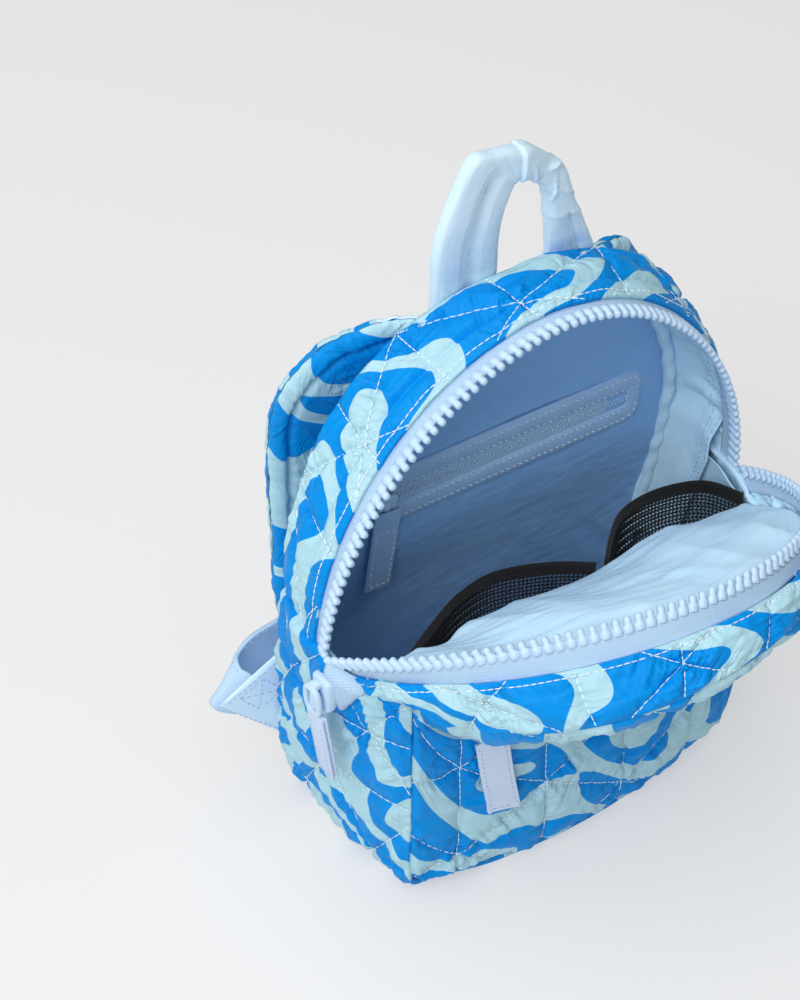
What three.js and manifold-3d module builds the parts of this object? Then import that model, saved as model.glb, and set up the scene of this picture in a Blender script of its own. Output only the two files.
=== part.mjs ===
import * as THREE from "three";
import { mergeVertices } from "three/addons/utils/BufferGeometryUtils.js";
import Module from "manifold-3d";

// Mini backpack with its front half unzipped and folded forward. Millimetres, +Z up, front towards -Y.

const clothThick = 3;
const backThick = 5;
const liningThick = 1;
const gap = 0.4;
const tapeWidth = 8.5;
const tapeThick = 1.2;
const toothPitch = 4.3;
const toothLength = 5.6;
const toothThick = 4.4;

// Arched edges: end points, how far the apex moves from the line between them, roundness and twist.
const edges = {
  zipRear: { left: [-109, -16, 125], right: [103, -16, 125], reach: [3.5, -1, 118], power: 1.85, twist: 0 },
  back: { left: [-98, 29, 125], right: [106, 29, 125], reach: [0, -5, 119], power: 2.4, twist: 0 },
  zipFlap: { left: [-109, -16, 125], right: [103, -16, 125], reach: [9, -95, 54], power: 1.95, twist: 2 },
  seamFlap: { left: [-88, -47, 117], right: [92, -47, 117], reach: [-9, -85, 44], power: 2.06, twist: -5 },
};

// Lower body, left side: front seam, widest line and back seam at each level.
const lowerLeft = [
  { front: [-88, -47, 117], mid: [-109, -16, 125], back: [-98, 29, 125] },
  { front: [-88, -47.5, 88], mid: [-105, -7, 92], back: [-97, 35, 92] },
  { front: [-87.5, -47, 50], mid: [-99, -2, 50], back: [-94.5, 40, 50] },
  { front: [-86.5, -46, 20], mid: [-94, 0, 20], back: [-91, 43, 20] },
  { front: [-83.5, -44, 6], mid: [-88, 0, 6], back: [-87, 43, 6] },
  { front: [-78, -42.5, 1], mid: [-81, 0, 0.8], back: [-81, 42, 1] },
  { front: [-72, -42, 0], mid: [-72, 0, 0], back: [-72, 42, 0] },
];
const lowerRight = [
  { front: [92, -47, 117], mid: [103, -16, 125], back: [106, 29, 125] },
  { front: [91, -47.5, 88], mid: [104, -7, 92], back: [103, 35, 92] },
  { front: [90, -47, 50], mid: [101, -2, 50], back: [98, 40, 50] },
  { front: [88.5, -46, 20], mid: [95, 0, 20], back: [92, 43, 20] },
  { front: [85.5, -44, 6], mid: [89, 0, 6], back: [88, 43, 6] },
  { front: [80, -42.5, 1], mid: [82, 0, 0.8], back: [82, 42, 1] },
  { front: [72, -42, 0], mid: [72, 0, 0], back: [72, 42, 0] },
];

// Front cloth: height of the fold across the middle, and how the cloth swells and tucks towards it.
const foldHeight = 84;
const foldSharpness = 6;
const frontRows = [
  { rise: 0, swell: 11 },
  { rise: 0.08, swell: 12 },
  { rise: 0.25, swell: 11 },
  { rise: 0.5, swell: 8.5 },
  { rise: 0.72, swell: 6 },
  { rise: 0.88, swell: 5 },
  { rise: 0.96, swell: 1 },
];
const flapRows = [0, 0.05, 0.11, 0.2, 0.32, 0.45, 0.58, 0.7, 0.81, 0.9];

const handlePath = [
  { at: [-19, 28.2, 231], across: [1, 0, 0], half: 14.5, thick: 3 },
  { at: [-19, 28, 248], across: [1, 0, 0.05], half: 14, thick: 4 },
  { at: [-15, 27, 264], across: [0.97, 0, -0.2], half: 12.5, thick: 5 },
  { at: [-8, 27, 277], across: [0.8, 0, -0.6], half: 10.5, thick: 6 },
  { at: [4, 28, 283], across: [0.1, 0, -1], half: 9, thick: 6.5 },
  { at: [17, 28, 279], across: [-0.6, 0, -0.8], half: 8.5, thick: 6.5 },
  { at: [24, 28, 267], across: [-0.93, 0, -0.35], half: 9, thick: 6 },
  { at: [29, 28.5, 249], across: [-1, 0, -0.05], half: 11.5, thick: 4 },
  { at: [31, 28.2, 231], across: [-1, 0, 0], half: 13, thick: 3 },
];
const strapEdges = [
  { outer: [-36.5, 27.5, 233], inner: [-32, 29.2, 213], thick: 3 },
  { outer: [-45, 33, 232.5], inner: [-36, 34, 206], thick: 4 },
  { outer: [-59, 38, 229.5], inner: [-40.5, 38.5, 199], thick: 4.5 },
  { outer: [-70, 42, 225], inner: [-43.5, 42.5, 192], thick: 5 },
  { outer: [-82, 47, 211.5], inner: [-46, 47.5, 184], thick: 5 },
  { outer: [-87, 50, 199.5], inner: [-47, 50.5, 177], thick: 5 },
  { outer: [-88.5, 53, 185], inner: [-47.5, 53.5, 168], thick: 5 },
  { outer: [-87.5, 55.5, 160], inner: [-47.5, 56, 152], thick: 5 },
  { outer: [-86.5, 56.5, 140], inner: [-47.5, 57, 137], thick: 5 },
  { outer: [-85, 57.2, 118], inner: [-47.5, 57.7, 117], thick: 5 },
  { outer: [-84.5, 57.6, 98], inner: [-48, 58, 98], thick: 5 },
  { outer: [-83, 57.6, 82], inner: [-48, 58, 82], thick: 3.5 },
];
const strapPath = strapEdges.map(({ outer, inner, thick }) => {
  const edge = new THREE.Vector3(...outer);
  const across = new THREE.Vector3(...inner).sub(edge);
  const half = across.length() / 2;
  const at = edge.addScaledVector(across, 0.5).toArray();
  return { at, across: across.normalize().toArray(), half, thick };
});
const webPath = [
  { at: [-65, 57.7, 81.6], across: [1, 0.02, 0], half: 12, thick: 0.9 },
  { at: [-67, 58, 73.5], across: [0.87, 0.02, -0.5], half: 11, thick: 0.9 },
  { at: [-72.5, 58.6, 68], across: [0.5, 0, -0.87], half: 10.5, thick: 0.9 },
  { at: [-80, 59, 66], across: [0.05, 0, -1], half: 10, thick: 0.9 },
  { at: [-94, 58.5, 64], across: [0, 0, -1], half: 10, thick: 0.9 },
  { at: [-106, 56.5, 62], across: [-0.35, 0.02, -0.93], half: 10, thick: 0.9 },
  { at: [-112.5, 52, 62.5], across: [-0.57, 0.05, -0.82], half: 10, thick: 0.9 },
  { at: [-112, 47.6, 60.5], across: [-0.6, 0.15, -0.78], half: 10, thick: 0.9 },
  { at: [-104.5, 44.8, 55.5], across: [-0.15, 0.11, -0.98], half: 16, thick: 0.9 },
  { at: [-95.7, 42.2, 50], across: [0.09, 0.1, -0.99], half: 22.5, thick: 0.9 },
];

// Upper edges of the two mesh pockets, at the height of the zip ends.
const meshTop = 124;
const meshFoot = 72;
const meshLeft = [[-76, -30.4], [-62, -23], [-44, -15], [-26, -12], [-10, -16], [4, -23], [14, -30.3]];
const meshRight = [[20, -30.3], [30, -20.5], [43, -11], [58, -8], [74, -10], [86, -16], [93, -30]];

const labelTab = { x: -46.5, bottom: 34.5, top: 80, width: 17.5, lean: 0.16, thick: 1.2 };
const pocketFrame = {
  left: -70,
  right: 76,
  bottom: 142,
  top: 170,
  round: 7,
  thick: 1.3,
  slot: 8,
  slotEnd: 8,
};
const slider = {
  body: [3, 11, 14],
  bodyAt: [-110.7, -20, 115],
  bridge: [3.5, 3, 10],
  bridgeAt: [-113.2, -20, 115],
};
const pullRing = { radius: 5, wire: 1, stretch: 1.3, at: [-116, -20, 113] };
const pullTab = { size: [3, 10.5, 36], at: [-111.7, -21, 88], turn: [-0.02, -0.145, 0] };
const bindingRadius = 1.9;

const vec = (p) => new THREE.Vector3(p[0], p[1], p[2]);
const lerp = THREE.MathUtils.lerp;

function archPoint(edge, phi) {
  const c = Math.cos(phi);
  const s = Math.max(Math.sin(phi), 0);
  const rise = Math.pow(s, 2 / edge.power);
  const along = 0.5 * (1 - Math.sign(c) * Math.pow(Math.abs(c), 2 / edge.power));
  const point = vec(edge.left).lerp(vec(edge.right), along);
  point.addScaledVector(vec(edge.reach), rise);
  point.z += edge.twist * Math.sin(2 * phi);
  return point;
}

// A closed body through rings of equal count, each ring paired across for its end caps.
function loft(rings) {
  const count = rings[0].length;
  const half = count / 2;
  const position = rings.flat().flatMap((p) => [p.x, p.y, p.z]);
  const index = [];
  const quad = (a, b, c, d) => index.push(a, b, c, a, c, d);
  for (let i = 0; i + 1 < rings.length; i++) {
    for (let j = 0; j < count; j++) {
      const k = (j + 1) % count;
      quad(i * count + j, i * count + k, (i + 1) * count + k, (i + 1) * count + j);
    }
  }
  const last = (rings.length - 1) * count;
  for (let j = 0; j + 1 < half; j++) {
    quad(j, count - 1 - j, count - 2 - j, j + 1);
    quad(last + j, last + j + 1, last + count - 2 - j, last + count - 1 - j);
  }
  return outward(position, index);
}

function outward(position, index) {
  let volume = 0;
  const at = (i) => new THREE.Vector3().fromArray(position, 3 * i);
  for (let i = 0; i < index.length; i += 3) {
    volume += at(index[i]).dot(at(index[i + 1]).cross(at(index[i + 2])));
  }
  if (volume < 0) {
    for (let i = 0; i < index.length; i += 3) {
      [index[i + 1], index[i + 2]] = [index[i + 2], index[i + 1]];
    }
  }
  const geometry = new THREE.BufferGeometry();
  geometry.setAttribute("position", new THREE.Float32BufferAttribute(position, 3));
  geometry.setIndex(index);
  geometry.computeVertexNormals();
  return geometry;
}

// Normals of a grid of points, turned towards the inside point.
function gridNormals(grid, inside) {
  const within = (k, list) => THREE.MathUtils.clamp(k, 0, list.length - 1);
  const at = (i, j) => grid[within(i, grid)][within(j, grid[0])];
  return grid.map((row, i) => row.map((point, j) => {
    const down = at(i + 1, j).clone().sub(at(i - 1, j));
    const over = at(i, j + 1).clone().sub(at(i, j - 1));
    const normal = down.cross(over).normalize();
    const toward = inside(point).sub(point);
    return normal.dot(toward) < 0 ? normal.negate() : normal;
  }));
}

// A grid of points given a thickness towards the inside.
function sheet(grid, near, far, inside) {
  const normals = gridNormals(grid, inside);
  return loft(grid.map((row, i) => {
    const outer = row.map((point, j) => point.clone().addScaledVector(normals[i][j], near));
    const inner = row.map((point, j) => point.clone().addScaledVector(normals[i][j], far));
    return outer.concat(inner.reverse());
  }));
}

// A strap through a table of stations, with a rounded flat section, which may stand at a slant.
function strap(path, steps, round, mirror, slanted) {
  const flip = mirror ? -1 : 1;
  const shift = mirror ? mirror.shift : 0;
  const drop = (k) => (mirror ? mirror.drop * (1 - k / (path.length - 1)) : 0);
  const station = (s, k) => new THREE.Vector3(flip * s.at[0] + shift, s.at[1], s.at[2] - drop(k));
  const centre = new THREE.CatmullRomCurve3(path.map(station));
  const value = (key, t) => {
    const place = t * (path.length - 1);
    const i = Math.min(Math.floor(place), path.length - 2);
    return lerp(path[i][key], path[i + 1][key], place - i);
  };
  const sides = path.map((s) => new THREE.Vector3(flip * s.across[0], s.across[1], s.across[2]));
  const across = new THREE.CatmullRomCurve3(sides);
  const rings = [];
  for (let i = 0; i <= steps; i++) {
    const t = i / steps;
    const middle = centre.getPoint(t);
    const tangent = centre.getTangent(t);
    const side = across.getPoint(t);
    const along = slanted ? 0 : side.dot(tangent);
    side.addScaledVector(tangent, -along).normalize();
    const face = tangent.clone().cross(side).normalize();
    const ring = [];
    for (let j = 0; j < round; j++) {
      const a = (2 * Math.PI * (j + 0.5)) / round;
      const w = value("half", t) * Math.sign(Math.cos(a)) * Math.pow(Math.abs(Math.cos(a)), 0.55);
      const h = value("thick", t) * Math.sign(Math.sin(a)) * Math.pow(Math.abs(Math.sin(a)), 0.7);
      ring.push(middle.clone().addScaledVector(side, w).addScaledVector(face, h));
    }
    rings.push(ring);
  }
  return loft(rings);
}

const wasm = await Module();
wasm.setup();

function solid(geometry) {
  const plain = geometry.clone();
  plain.deleteAttribute("normal");
  plain.deleteAttribute("uv");
  const merged = mergeVertices(plain, 1e-4);
  const mesh = new wasm.Mesh({
    numProp: 3,
    vertProperties: merged.attributes.position.array,
    triVerts: new Uint32Array(merged.index.array),
  });
  return new wasm.Manifold(mesh);
}

function fromSolid(body) {
  const mesh = body.getMesh();
  const geometry = new THREE.BufferGeometry();
  geometry.setAttribute("position", new THREE.BufferAttribute(new Float32Array(mesh.vertProperties), 3));
  geometry.setIndex(new THREE.BufferAttribute(new Uint32Array(mesh.triVerts), 1));
  geometry.computeVertexNormals();
  return geometry;
}

const materials = {
  quilt: { color: 0x2f9fe6, roughness: 0.55, metalness: 0 },
  lining: { color: 0xa9cbef, roughness: 0.6, metalness: 0 },
  trim: { color: 0xbbd6f3, roughness: 0.55, metalness: 0 },
  zipTape: { color: 0xb3d2f2, roughness: 0.7, metalness: 0 },
  plastic: { color: 0xbcdaf6, roughness: 0.35, metalness: 0 },
  mesh: { color: 0x141516, roughness: 0.8, metalness: 0 },
};
const group = new THREE.Group();

function add(name, geometry, look) {
  const mesh = new THREE.Mesh(geometry, new THREE.MeshStandardMaterial(materials[look]));
  mesh.name = name;
  group.add(mesh);
}

// A seam of the lower body at a given height.
function seamAt(side, seam, z) {
  const i = Math.max(side.findIndex((row) => row[seam][2] <= z), 1);
  const upper = vec(side[i - 1][seam]);
  const lower = vec(side[i][seam]);
  return lower.lerp(upper, (z - lower.z) / (upper.z - lower.z));
}

// Lower gusset: one strip down the left side, under the base and up the right side.
function lowerSection(row, columns) {
  const front = vec(row.front);
  const mid = vec(row.mid);
  const back = vec(row.back);
  const section = [];
  for (let j = 0; j <= columns; j++) {
    const t = j / columns;
    const p = front.clone().multiplyScalar(2 * (t - 0.5) * (t - 1));
    p.addScaledVector(mid, 4 * t * (1 - t));
    p.addScaledVector(back, 2 * t * (t - 0.5));
    section.push(p);
  }
  return section;
}
const floorRows = [-48, -24, 0, 24, 48].map((x) => {
  const bow = frontRows[0].swell * (1 - (x / 78) ** 2);
  return { front: [x, -42 - bow, 0], mid: [x, -bow / 2, 0], back: [x, 42, 0] };
});
const lowerRows = [...lowerLeft, ...floorRows, ...[...lowerRight].reverse()];
const lowerGrid = lowerRows.map((row) => lowerSection(row, 8));
const insideLower = () => new THREE.Vector3(1, 0, 70);
add("lower_gusset", sheet(lowerGrid, 0, clothThick, insideLower), "quilt");

// Rear gusset: the arch band between the zip and the back panel.
function bandGrid(zipEdge, seamEdge, from, to, columns, start, stop, steps, bulge) {
  const apex = archPoint(edges[zipEdge], Math.PI / 2);
  const base = vec(edges[zipEdge].left).lerp(vec(edges[zipEdge].right), 0.5);
  const centre = apex.lerp(base, 0.6);
  const grid = [];
  for (let i = 0; i <= steps; i++) {
    const phi = lerp(start, stop, i / steps);
    const zip = archPoint(edges[zipEdge], phi);
    const seam = archPoint(edges[seamEdge], phi);
    const width = zip.distanceTo(seam);
    const row = [];
    for (let j = 0; j <= columns; j++) {
      const t = lerp(from / width, 1 - to / width, j / columns);
      const p = zip.clone().lerp(seam, t);
      const out = p.clone().sub(centre).normalize();
      row.push(p.addScaledVector(out, bulge * 4 * t * (1 - t)));
    }
    grid.push(row);
  }
  return grid;
}
const insideArch = () => new THREE.Vector3(1, 4, 140);
const rearBand = bandGrid("zipRear", "back", tapeWidth + gap, 0, 4, 0.02, Math.PI - 0.02, 28, 2);
add("rear_gusset", sheet(rearBand, 0, clothThick, insideArch), "quilt");
const rearInner = bandGrid("zipRear", "back", tapeWidth + 3, backThick + 4, 3, 0.03, Math.PI - 0.03, 26, 2);
const underGusset = clothThick + gap;
add("gusset_lining", sheet(rearInner, underGusset, underGusset + liningThick, insideArch), "lining");

// Back panel, set inside the gusset's rear edge.
function backRow(left, right, columns, inset, bow) {
  const row = [];
  for (let j = 0; j <= columns; j++) {
    const u = (2 * j) / columns - 1;
    const p = left.clone().lerp(right, j / columns);
    p.x -= inset * u;
    p.y += bow * (1 - u * u);
    row.push(p);
  }
  return row;
}
function backGrid(inset, floor, crown, columns) {
  const grid = [];
  for (const z of [floor, 20, 50, 92]) {
    const tuck = z === floor ? 3 : 0;
    const left = seamAt(lowerLeft, "back", z);
    const right = seamAt(lowerRight, "back", z);
    grid.push(backRow(left, right, columns, inset + tuck, 2));
  }
  for (const phi of [0.02, 0.16, 0.32, 0.5, 0.68, 0.86, 1.04, 1.2, 1.34, 1.45]) {
    const left = archPoint(edges.back, phi);
    const right = archPoint(edges.back, Math.PI - phi);
    const row = backRow(left, right, columns, inset * Math.cos(phi), 2 * Math.cos(phi));
    row.forEach((p) => (p.z -= crown * Math.sin(phi)));
    grid.push(row);
  }
  return grid;
}
const towardFront = (p) => new THREE.Vector3(p.x, -200, p.z);
add("back_panel", sheet(backGrid(4.2, 5, 4.2, 10), 0, backThick, towardFront), "quilt");
const beforePad = backThick + gap;
const liningBack = sheet(backGrid(9, 8, 9, 6), beforePad, beforePad + liningThick, towardFront);
add("back_lining", liningBack, "lining");

// Front cloth: the lower front up to the fold, then the flap out to its seam.
function seamAcross(t, u, inset) {
  const phi = (t * Math.PI) / 2;
  const left = archPoint(edges.seamFlap, phi);
  const right = archPoint(edges.seamFlap, Math.PI - phi);
  left.x += inset * Math.cos(phi);
  right.x -= inset * Math.cos(phi);
  const p = left.lerp(right, 0.5 * (1 + u));
  p.y += inset * Math.sin(phi);
  p.z -= 0.3 * inset * Math.sin(phi);
  return p;
}
function frontPoint(row, u, inset) {
  const across = 1 - Math.pow(Math.abs(u), foldSharpness);
  if (row.rise === undefined) {
    const p = seamAcross(row, u, inset);
    const slack = Math.pow(1 - row, 1.5);
    p.z -= (117 - foldHeight) * slack * across;
    p.y += 4 * slack * across;
    const droop = 5 * Math.sin(Math.PI * row) * (1 - u * u);
    return p.add(new THREE.Vector3(0, -0.5 * droop, -droop));
  }
  const fold = seamAcross(0, u, inset);
  const top = fold.z - (117 - foldHeight) * across;
  const z = lerp(clothThick + gap + 1.2, top, row.rise);
  const left = seamAt(lowerLeft, "front", z);
  const right = seamAt(lowerRight, "front", z);
  const tuck = row.rise === 0 ? 3 : 0;
  left.x += inset + tuck;
  right.x -= inset + tuck;
  const p = left.lerp(right, 0.5 * (1 + u));
  p.y -= row.swell * (1 - u * u);
  return p;
}
const frontColumns = [-1, -0.93, -0.84, -0.72, -0.55, -0.3, 0, 0.3, 0.55, 0.72, 0.84, 0.93, 1];
const frontInset = 3.8;
const frontAcross = (row) => frontColumns.map((u) => frontPoint(row, u, frontInset));
const frontGrid = [...frontRows, ...flapRows].map(frontAcross);
const behindFront = (p) => new THREE.Vector3(p.x, p.y + 60, p.z + (p.y < -55 ? 90 : 0));
add("front_panel", sheet(frontGrid, 0, clothThick, behindFront), "quilt");

// Front gusset: the arch band between the flap's seam and its zip, gathered near the left zip end.
const aboveFlap = () => new THREE.Vector3(2, -58, 150);
const frontStart = 0.035;
const bandFrom = tapeWidth + 2 * gap;
const frontBand = bandGrid("zipFlap", "seamFlap", bandFrom, 0, 4, frontStart, Math.PI - frontStart, 30, 2.5);
add("front_gusset", sheet(frontBand, 0, clothThick, aboveFlap), "quilt");

// Flap lining: from the zip tape over a crest and down behind the lower front.
const liningRows = [
  { ahead: 0, lift: 0 },
  { ahead: 0.25, lift: 4 },
  { ahead: 0.5, lift: 6 },
  { ahead: 0.75, lift: 5 },
  { ahead: 0.93, lift: 2 },
];
function liningPoint(ahead, lift, k) {
  const phi = lerp(0.36, Math.PI - 0.36, k);
  const front = archPoint(edges.zipFlap, phi).lerp(archPoint(edges.seamFlap, phi), 0.36);
  const pull = aboveFlap().sub(front).normalize();
  front.addScaledVector(pull, 3.1);
  const crest = new THREE.Vector3(lerp(-79, 93, k), -31.5, 126 - 3 * Math.cos(4 * Math.PI * k));
  const p = front.lerp(crest, ahead);
  p.z += lift * Math.sin(Math.PI * k);
  return p;
}
const liningColumns = Array.from({ length: 17 }, (_, j) => j / 16);
const liningAcross = (row) => liningColumns.map((k) => liningPoint(row.ahead, row.lift, k));
const liningGrid = liningRows.map(liningAcross);
for (const drop of [0, 6, 30, 54]) {
  liningGrid.push(liningColumns.map((k) => {
    const p = liningPoint(1, 0, k);
    p.z -= drop;
    p.y -= drop < 10 ? 0 : 3.5;
    p.x *= drop < 10 ? 1 : 0.93;
    return p;
  }));
}
const underLining = (p) => new THREE.Vector3(p.x, p.y - 20, p.z - 60);
add("flap_lining", sheet(liningGrid, 0, liningThick, underLining), "lining");

// Mesh pockets hang behind the flap lining, each with a bound upper edge.
function meshGrid(table, top, foot, rows, footY) {
  const edge = new THREE.CatmullRomCurve3(table.map((p) => new THREE.Vector3(p[0], p[1], top)));
  const points = edge.getPoints(12);
  return Array.from({ length: rows + 1 }, (_, i) => points.map((point) => {
    const k = i / rows;
    return new THREE.Vector3(point.x, lerp(point.y, footY ?? point.y, k * k), lerp(top, foot, k));
  }));
}
const behind = (p) => new THREE.Vector3(p.x, p.y + 50, p.z);
for (const [side, table] of [["left", meshLeft], ["right", meshRight]]) {
  const net = meshGrid(table, meshTop - 3.6, meshFoot, 4, -30.5);
  const edge = meshGrid(table, meshTop + 3, meshTop - 3.2, 1);
  add("mesh_pocket_" + side, sheet(net, 0, 0.9, behind), "mesh");
  add("mesh_binding_" + side, sheet(edge, -0.6, 1.5, behind), "mesh");
}

// Zip halves: a tape along each arch whose free edge swells into a tooth at each pitch.
function zipHalf(zipEdge, seamEdge, inside, start, stop) {
  const fine = Array.from({ length: 1501 }, (_, i) => lerp(start, stop, i / 1500));
  const stations = [];
  let travel = toothPitch / 2;
  let before = archPoint(edges[zipEdge], start);
  for (const phi of fine) {
    const zip = archPoint(edges[zipEdge], phi);
    travel += zip.distanceTo(before);
    before = zip;
    if (travel < toothPitch / 2) continue;
    travel -= toothPitch / 2;
    stations.push(phi);
  }
  return loft(stations.map((phi, i) => {
    const zip = archPoint(edges[zipEdge], phi);
    const along = archPoint(edges[zipEdge], phi + 0.01).sub(archPoint(edges[zipEdge], phi - 0.01));
    const over = archPoint(edges[seamEdge], phi).sub(zip).normalize();
    const up = over.clone().cross(along).normalize();
    if (up.dot(inside().sub(zip)) < 0) up.negate();
    const tooth = i % 2 === 1;
    const base = zip.clone().addScaledVector(up, 1.5);
    const place = (across, height) => base.clone().addScaledVector(over, across).addScaledVector(up, height);
    const edge = tooth ? 0 : 2.6;
    const half = 0.5 * (tooth ? toothThick : tapeThick);
    const root = toothLength;
    return [
      place(tapeWidth, -tapeThick / 2), place(root, -half), place(edge, -half),
      place(edge, half), place(root, half), place(tapeWidth, tapeThick / 2),
    ];
  }));
}
add("zip_rear", zipHalf("zipRear", "back", insideArch, 0.06, Math.PI - 0.06), "plastic");
add("zip_front", zipHalf("zipFlap", "seamFlap", aboveFlap, 0.22, Math.PI - 0.22), "plastic");

// Slider at the left zip end, with its ring and folded pull tab lying down the side.
function block(size, at, turn) {
  const box = new THREE.BoxGeometry(size[0], size[1], size[2]);
  box.applyMatrix4(new THREE.Matrix4().makeRotationFromEuler(new THREE.Euler(turn[0], turn[1], turn[2])));
  return box.translate(at[0], at[1], at[2]);
}
const upright = [0, 0, 0];
const sliderBody = solid(block(slider.body, slider.bodyAt, upright));
const sliderBridge = solid(block(slider.bridge, slider.bridgeAt, upright));
add("zip_slider", fromSolid(sliderBody.add(sliderBridge)), "plastic");
const ring = new THREE.TorusGeometry(pullRing.radius, pullRing.wire, 5, 14);
ring.scale(pullRing.stretch, 1, 1);
ring.rotateY(Math.PI / 2);
add("zip_pull_ring", ring.translate(pullRing.at[0], pullRing.at[1], pullRing.at[2]), "plastic");
add("zip_pull_tab", block(pullTab.size, pullTab.at, pullTab.turn), "trim");

// Handle, straps and their webbing.
add("top_handle", strap(handlePath, 26, 10), "trim");
add("shoulder_strap_left", strap(strapPath, 20, 10, null, true), "quilt");
add("shoulder_strap_right", strap(strapPath, 20, 10, { shift: 6, drop: 5 }, true), "quilt");
add("strap_web_left", strap(webPath, 27, 6, null, true), "trim");
add("strap_web_right", strap(webPath, 27, 6, { shift: 4, drop: 0 }, true), "trim");

// Bound seam round the inside of the back panel.
const bindPoints = [];
for (const k of [3, 2, 1]) bindPoints.push(vec(lowerLeft[k].back).add(new THREE.Vector3(9, -12, 0)));
for (let i = 1; i < 16; i++) {
  const phi = (Math.PI * i) / 16;
  const p = archPoint(edges.back, phi);
  const pull = new THREE.Vector3(3, p.y, 150).sub(p).normalize();
  bindPoints.push(p.addScaledVector(pull, 8.8).add(new THREE.Vector3(0, -10.5, 0)));
}
for (const k of [1, 2, 3]) bindPoints.push(vec(lowerRight[k].back).add(new THREE.Vector3(-9, -12, 0)));
const bindShape = new THREE.Shape().absarc(0, 0, bindingRadius, 0, 2 * Math.PI, false);
add("seam_binding", new THREE.ExtrudeGeometry(bindShape, {
  steps: 44,
  curveSegments: 3,
  bevelEnabled: false,
  extrudePath: new THREE.CatmullRomCurve3(bindPoints),
}), "lining");

// Zipped pocket in the back lining: a frame round a slot, the coil zip, its slider and pull.
function plateShape(left, right, bottom, top, round) {
  const shape = new THREE.Shape();
  shape.moveTo(left + round, bottom);
  shape.lineTo(right - round, bottom);
  shape.absarc(right - round, bottom + round, round, -Math.PI / 2, 0, false);
  shape.lineTo(right, top - round);
  shape.absarc(right - round, top - round, round, 0, Math.PI / 2, false);
  shape.lineTo(left + round, top);
  shape.absarc(left + round, top - round, round, Math.PI / 2, Math.PI, false);
  shape.lineTo(left, bottom + round);
  shape.absarc(left + round, bottom + round, round, Math.PI, 1.5 * Math.PI, false);
  return shape;
}
function standing(shape, depth, y, lean) {
  const plate = new THREE.ExtrudeGeometry(shape, { depth, bevelEnabled: false, curveSegments: 3 });
  plate.rotateX(Math.PI / 2);
  plate.translate(0, 0, -150);
  plate.rotateX(lean);
  return plate.translate(0, y, 150);
}
const frame = pocketFrame;
const slotMiddle = 0.5 * (frame.bottom + frame.top);
const frameShape = plateShape(frame.left, frame.right, frame.bottom, frame.top, frame.round);
const slotPath = plateShape(frame.left + frame.slotEnd, frame.right - frame.slotEnd,
  slotMiddle - frame.slot / 2, slotMiddle + frame.slot / 2, 2);
frameShape.holes.push(slotPath);
const zipPlate = plateShape(frame.left + frame.slotEnd + gap, frame.right - frame.slotEnd - gap,
  slotMiddle - frame.slot / 2 + gap, slotMiddle + frame.slot / 2 - gap, 1.5);
const wall = 21.8;
const wallLean = 0.045;
add("inner_pocket_frame", standing(frameShape, frame.thick, wall, wallLean), "trim");
add("inner_pocket_zip", standing(zipPlate, 0.8, wall, wallLean), "zipTape");
add("inner_pocket_slider", block([9, 3, 6.4], [-55, wall - 2.75, slotMiddle], [wallLean, 0, 0]), "plastic");
const pullAt = [-57, wall - 2.9, slotMiddle - 23.95];
add("inner_pocket_pull", block([12.5, 2, 40], pullAt, [0.03, 0.1, 0]), "trim");

// Bare label tab lying on the lower front.
function frontAt(x, z) {
  const left = seamAt(lowerLeft, "front", z).x;
  const right = seamAt(lowerRight, "front", z).x;
  const u = (2 * (x - left)) / (right - left) - 1;
  const k = Math.max(frontRows.findIndex((row) => frontPoint(row, u, frontInset).z >= z), 1);
  const lower = frontPoint(frontRows[k - 1], u, frontInset);
  const upper = frontPoint(frontRows[k], u, frontInset);
  return lerp(lower.y, upper.y, (z - lower.z) / (upper.z - lower.z));
}
const tabGrid = [];
for (let i = 0; i <= 6; i++) {
  const z = lerp(labelTab.bottom, labelTab.top, i / 6);
  const row = [];
  for (let j = 0; j <= 3; j++) {
    const x = labelTab.x + labelTab.width * (j / 3 - 0.5) - labelTab.lean * (z - 57);
    row.push(new THREE.Vector3(x, frontAt(x, Math.min(z, 72)) - labelTab.thick - gap, z));
  }
  tabGrid.push(row);
}
add("label_tab", sheet(tabGrid, 0, labelTab.thick, (p) => new THREE.Vector3(p.x, 0, p.z)), "trim");

export default group;
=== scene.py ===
from math import cos, exp, pi, radians, sin, sqrt

import bmesh
import bpy
from mathutils import Matrix, Vector, noise
from mathutils.bvhtree import BVHTree
from mathutils.geometry import barycentric_transform


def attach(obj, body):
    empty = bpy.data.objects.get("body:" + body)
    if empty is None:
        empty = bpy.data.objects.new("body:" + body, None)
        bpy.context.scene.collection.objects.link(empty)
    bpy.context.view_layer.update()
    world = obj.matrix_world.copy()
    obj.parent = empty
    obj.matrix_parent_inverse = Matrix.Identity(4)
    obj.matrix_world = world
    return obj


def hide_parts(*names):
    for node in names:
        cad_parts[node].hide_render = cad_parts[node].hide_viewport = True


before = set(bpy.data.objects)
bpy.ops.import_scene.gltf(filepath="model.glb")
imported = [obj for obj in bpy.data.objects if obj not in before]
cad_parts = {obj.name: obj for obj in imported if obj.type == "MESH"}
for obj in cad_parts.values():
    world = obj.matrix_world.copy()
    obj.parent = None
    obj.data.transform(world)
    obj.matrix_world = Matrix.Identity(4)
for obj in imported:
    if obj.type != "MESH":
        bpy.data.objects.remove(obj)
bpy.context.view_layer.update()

scene = bpy.context.scene
scene.view_settings.view_transform = "Standard"
mm = 0.001
bagMiddle = Vector((1, -6, 110))  # inside the bag, in millimetres as all the tables are
flapMiddle = Vector((2, -58, 150))  # over the open flap
behind = Vector((0, 60, 150))  # behind the back lining


def lerp(a, b, k):
    return a + (b - a) * k


def clamp(x, low=0.0, high=1.0):
    return max(low, min(high, x))


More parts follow.
